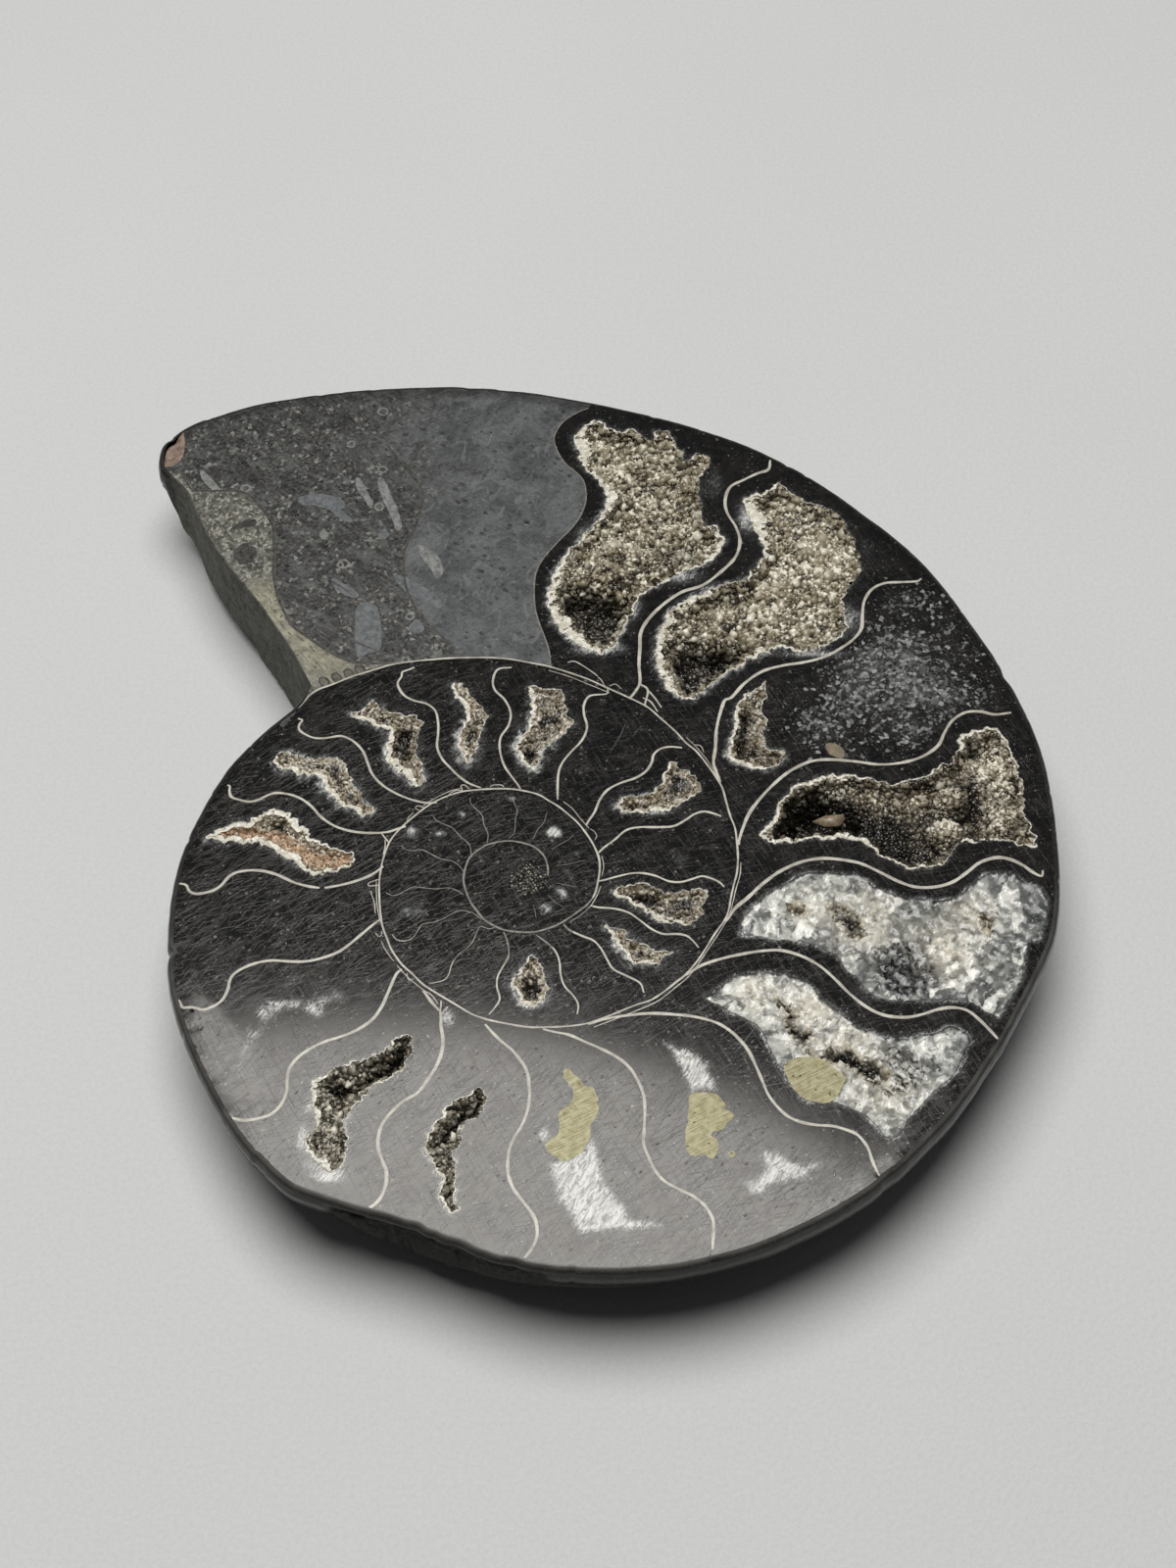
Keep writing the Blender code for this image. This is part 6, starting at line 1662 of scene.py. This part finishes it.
def filled(name, hollows, clear_zones, warm_spots, tones, base, seed, cut=()):
    loop = masses[name]
    rng = np.random.default_rng(seed)
    edge = Line(loop)
    g = spread(loop.min(0), loop.max(0), 0.32, rng)
    g = g[inside(loop, g)]
    g = g[edge.far(g, 9.0) > 0.14]
    p, faces, _ = triangulate([loop, *cut], (), g)
    middle = p[faces].mean(1)
    keep = inside(loop, middle)
    for other in cut:
        keep &= ~inside(other, middle)
    faces = faces[keep]
    far = edge.far(p, 9.0)
    # blades that grew in from the walls
    seeds = spread(loop.min(0), loop.max(0), 1.05, rng, 0.45)
    seeds = seeds[inside(loop, seeds) | (edge.far(seeds, 2.0) < 1.0)]
    near = [edge.tree.find((x, y, 0.0))[0] for x, y in seeds]
    inward = seeds - np.array([(q.x, q.y) for q in near])
    inward /= np.maximum(1e-6, np.linalg.norm(inward, axis=1))[:, None]
    turn = rng.normal(0, 0.35, len(seeds))
    inward = np.c_[inward[:, 0] * np.cos(turn) - inward[:, 1] * np.sin(turn), inward[:, 0] * np.sin(turn) + inward[:, 1] * np.cos(turn)]
    beside = np.c_[-inward[:, 1], inward[:, 0]]
    long = rng.uniform(1.3, 2.4, len(seeds))
    q = p[:, None] - seeds[None]
    wobble = 0.16 * np.c_[noise(p, 0.7, seed + 1), noise(p, 0.7, seed + 2)]
    q = q + wobble[:, None]
    away = ((q * inward[None]).sum(2) / long) ** 2 + ((q * beside[None]).sum(2)) ** 2
    owner = away.argmin(1)
    tilt = rng.normal(0, 0.15, (len(seeds), 2))
    sunk = rng.uniform(0.02, 0.34, len(seeds))
    d = sunk[owner] - (tilt[owner] * (p - seeds[owner])).sum(1)
    d = np.clip(d, 0.0, 0.6) * np.clip(far / 0.25, 0, 1)
    d += 0.03 * (0.5 + 0.5 * noise(p, 0.5, seed + 3, 2)) * np.clip(far / 0.25, 0, 1)
    hole = np.zeros(len(p))
    for outline, deep in hollows:
        line = Line(outline).far(p, 4.0)
        signed = np.where(inside(outline, p), line, -line)
        hole = np.maximum(hole, deep * step_between(signed, -0.35, 0.75) * (0.8 + 0.4 * noise(p, 1.2, seed + 4, 2)))
    d = np.maximum(d, hole)
    on_brim = far < 0.02
    for other in cut:
        on_brim |= Line(other).far(p, 1.0) < 0.02
    z = FACE - face_drop(p) - np.where(on_brim, 0.0, d)
    tone = rng.random(len(seeds)) ** 0.9
    spots = [(np.exp(-((p - c) ** 2).sum(1) / r**2)) for c, r in warm_spots]
    warm = np.maximum.reduce(spots) if spots else np.zeros(len(p))
    clear = np.zeros(len(p))
    for outline in clear_zones:
        line = Line(outline).far(p, 4.0)
        signed = np.where(inside(outline, p), line, -line)
        clear = np.maximum(clear, step_between(signed, -0.6, 0.8))
    clear = np.clip(clear + 0.55 * (rng.random(len(seeds)) < 0.30)[owner], 0, 1)
    along = (q[np.arange(len(p)), owner] * inward[owner]).sum(1) / long[owner]
    light = np.full(len(p), float(base))
    for x, y, r, more in tones:
        light += more * np.exp(-(((p[:, 0] - x) ** 2 + (p[:, 1] - y) ** 2) / r**2))
    shade = light + 0.55 * (tone[owner] - 0.5) + 0.25 * np.clip(along, -1, 1)
    # painted shade: the calcite turns darker the deeper it lies in an open hole
    shade = np.clip(shade, 0.0, 1.0) * (1 - 0.85 * np.clip(hole / 0.9, 0, 1))
    values = {"tone": shade, "clear": clear * np.clip(far / 0.5, 0, 1) * (hole < 0.1), "warm": np.clip(warm, 0, 1), "fade": np.clip(far / 0.45, 0, 1)}
    verts = np.c_[p, z]
    blocks = piece("blocky_" + name, verts, faces, BLOCKY, values, planar_uv=True)
    under = np.c_[p, np.minimum(z - 0.15, FACE - (1.9 + 0.5 * noise(p, 2.0, seed + 6, 3)) * np.clip(far / 0.5, 0.06, 1) - hole)]
    piece("bed_" + name, under, faces, BED, smooth=True)
    # crystals round the open holes
    open_at = verts[faces].mean(1)
    chosen = np.zeros(len(faces), bool)
    for outline, deep in hollows:
        line = Line(outline).far(open_at[:, :2], 4.0)
        chosen |= inside(outline, open_at[:, :2]) & (line > 0.05)
    at, up = scattered(verts, faces[chosen], 0.62, rng)
    size = 0.58 * rng.uniform(0.5, 1.4, len(at))
    v, f, each = crystals(at, up, size, rng.uniform(0.9, 1.5, len(at)), rng, "rhomb", tilt=0.5)
    v[:, 2] = np.minimum(v[:, 2], FACE - 0.004)
    shade = np.clip(0.45 + rng.normal(0, 0.25, len(at)), 0, 1)
    # painted shade: crystals are darker the deeper they sit in the hole
    painted_shade = np.clip((FACE - at[:, 2] - 0.55) / 1.0, 0, 1) ** 0.8
    piece("druse_" + name, v, f, HOLE_DRUSE, {"tone": np.repeat(shade, each), "deep": np.repeat(painted_shade, each)})


BLOCKY, BED = clear_calcite(), dark_bed()
HOLE_DRUSE = druse("druse_in_calcite", (0.10, 0.086, 0.062), (0.60, 0.545, 0.43), (0.93, 0.89, 0.78))
filled("mass_5", [(turned_left(curve(traced(t), 0.3)), 1.7) for t in HOLLOWS_5], [turned_left(curve(traced(CLEAR_5), 0.3))],
       [(np.array(c), r) for c, r in (((40.5, -6), 3.8), ((50, -10), 3.6), ((53.5, -5.5), 2.6), ((34, -4.5), 2.2))],
       ((30, -3, 7, 0.06), (45, -13.5, 4.6, -0.75), (54, -14.5, 6, -0.35), (60.5, -4, 4.5, -0.38), (47, -7, 3, -0.15), (40, -2, 6, 0.05), (50, -10, 2.5, 0.30), (38, -9, 4, 0.12)), 0.46, 1301)
filled("mass_6", [(turned_left(curve(traced(HOLLOW_6), 0.3)), 2.1)], [turned_left(curve(traced("905,1066 930,1070 948,1090 930,1110 908,1120 900,1100"), 0.3))],
       [(np.array(c), r) for c, r in (((33.5, -18.5), 3.0), ((37.5, -23.5), 3.4), ((42, -28), 3.4), ((28, -16), 2.2))],
       ((25.5, -16, 5, 0.20), (34, -20, 4, 0.10), (47, -24, 5, -0.20), (39, -30, 4, 0.06), (50.5, -22, 4, -0.12)), 0.58, 1302, cut=[pyrites["a"]])

# ---------------------------------------------------------------- floor, light, camera


def flat_plane(name, size, z, material):
    mesh = bpy.data.meshes.new(name)
    h = size / 2
    mesh.from_pydata([(-h, -h, z), (h, -h, z), (h, h, z), (-h, h, z)], [], [(0, 1, 2, 3)])
    mesh.materials.append(material)
    obj = bpy.data.objects.new(name, mesh)
    bpy.context.scene.collection.objects.link(obj)
    return obj


floor = flat_plane("floor", 6.0, -0.00003, floor_finish())
floor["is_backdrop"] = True


def softbox(name, elevation, azimuth, distance, wide, high, turn, radiance):
    """A lamp that faces the fossil. Its brightness is the same from all over its face."""
    lamp = bpy.data.lights.new(name, "AREA")
    lamp.shape = "ELLIPSE"
    lamp.size, lamp.size_y = wide, high
    lamp.energy = radiance * math.pi * (math.pi * wide * high / 4)
    lamp.color = (1.0, 0.990, 0.968)
    obj = bpy.data.objects.new(name, lamp)
    e, a = math.radians(elevation), math.radians(azimuth)
    back = Vector((math.cos(e) * math.cos(a), math.cos(e) * math.sin(a), math.sin(e)))
    obj.location = Vector((0, 0, FACE * MM)) + back * distance
    obj.rotation_mode = "QUATERNION"
    obj.rotation_quaternion = back.to_track_quat("Z", "Y") @ Quaternion((0, 0, 1), math.radians(turn))
    bpy.context.scene.collection.objects.link(obj)
    return obj


softbox("overhead", 80.7, 122.0, 1.0, 0.78, 0.785, 0.0, 6.8)

# the room round the table is dim, dimmest on the side of the camera and low down
world = bpy.data.worlds.new("studio")
world.use_nodes = True
room = world.node_tree
place = room.nodes.new("ShaderNodeTexCoord")
split = room.nodes.new("ShaderNodeSeparateXYZ")
room.links.new(place.outputs["Generated"], split.inputs[0])


def range_of(value, a, b, low, high):
    n = room.nodes.new("ShaderNodeMapRange")
    n.interpolation_type = "SMOOTHSTEP"
    for key, v in (("From Min", a), ("From Max", b), ("To Min", low), ("To Max", high)):
        n.inputs[key].default_value = v
    room.links.new(value, n.inputs["Value"])
    return n.outputs["Result"]


product = room.nodes.new("ShaderNodeMath")
product.operation = "MULTIPLY"
room.links.new(range_of(split.outputs["Y"], -0.35, 0.45, 0.045, 0.100), product.inputs[0])
room.links.new(range_of(split.outputs["Z"], 0.0, 0.7, 0.35, 1.0), product.inputs[1])
room.links.new(product.outputs[0], room.nodes["Background"].inputs["Strength"])
room.nodes["Background"].inputs["Color"].default_value = (0.97, 0.99, 1.0, 1)
bpy.context.scene.world = world

view = bpy.data.cameras.new("camera")
view.sensor_width = 36.0
view.lens = FOCAL * 36.0 / 1600.0
eye = bpy.data.objects.new("camera", view)
eye.location = ((FOOT[0] - ORIGIN[0]) * MM, (FOOT[1] - ORIGIN[1]) * MM, (FACE + EYE) * MM)
eye.rotation_euler = (math.radians(90) - PITCH, 0, 0)
bpy.context.scene.collection.objects.link(eye)
bpy.context.scene.camera = eye
bpy.context.scene.view_settings.view_transform = "Standard"

low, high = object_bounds()
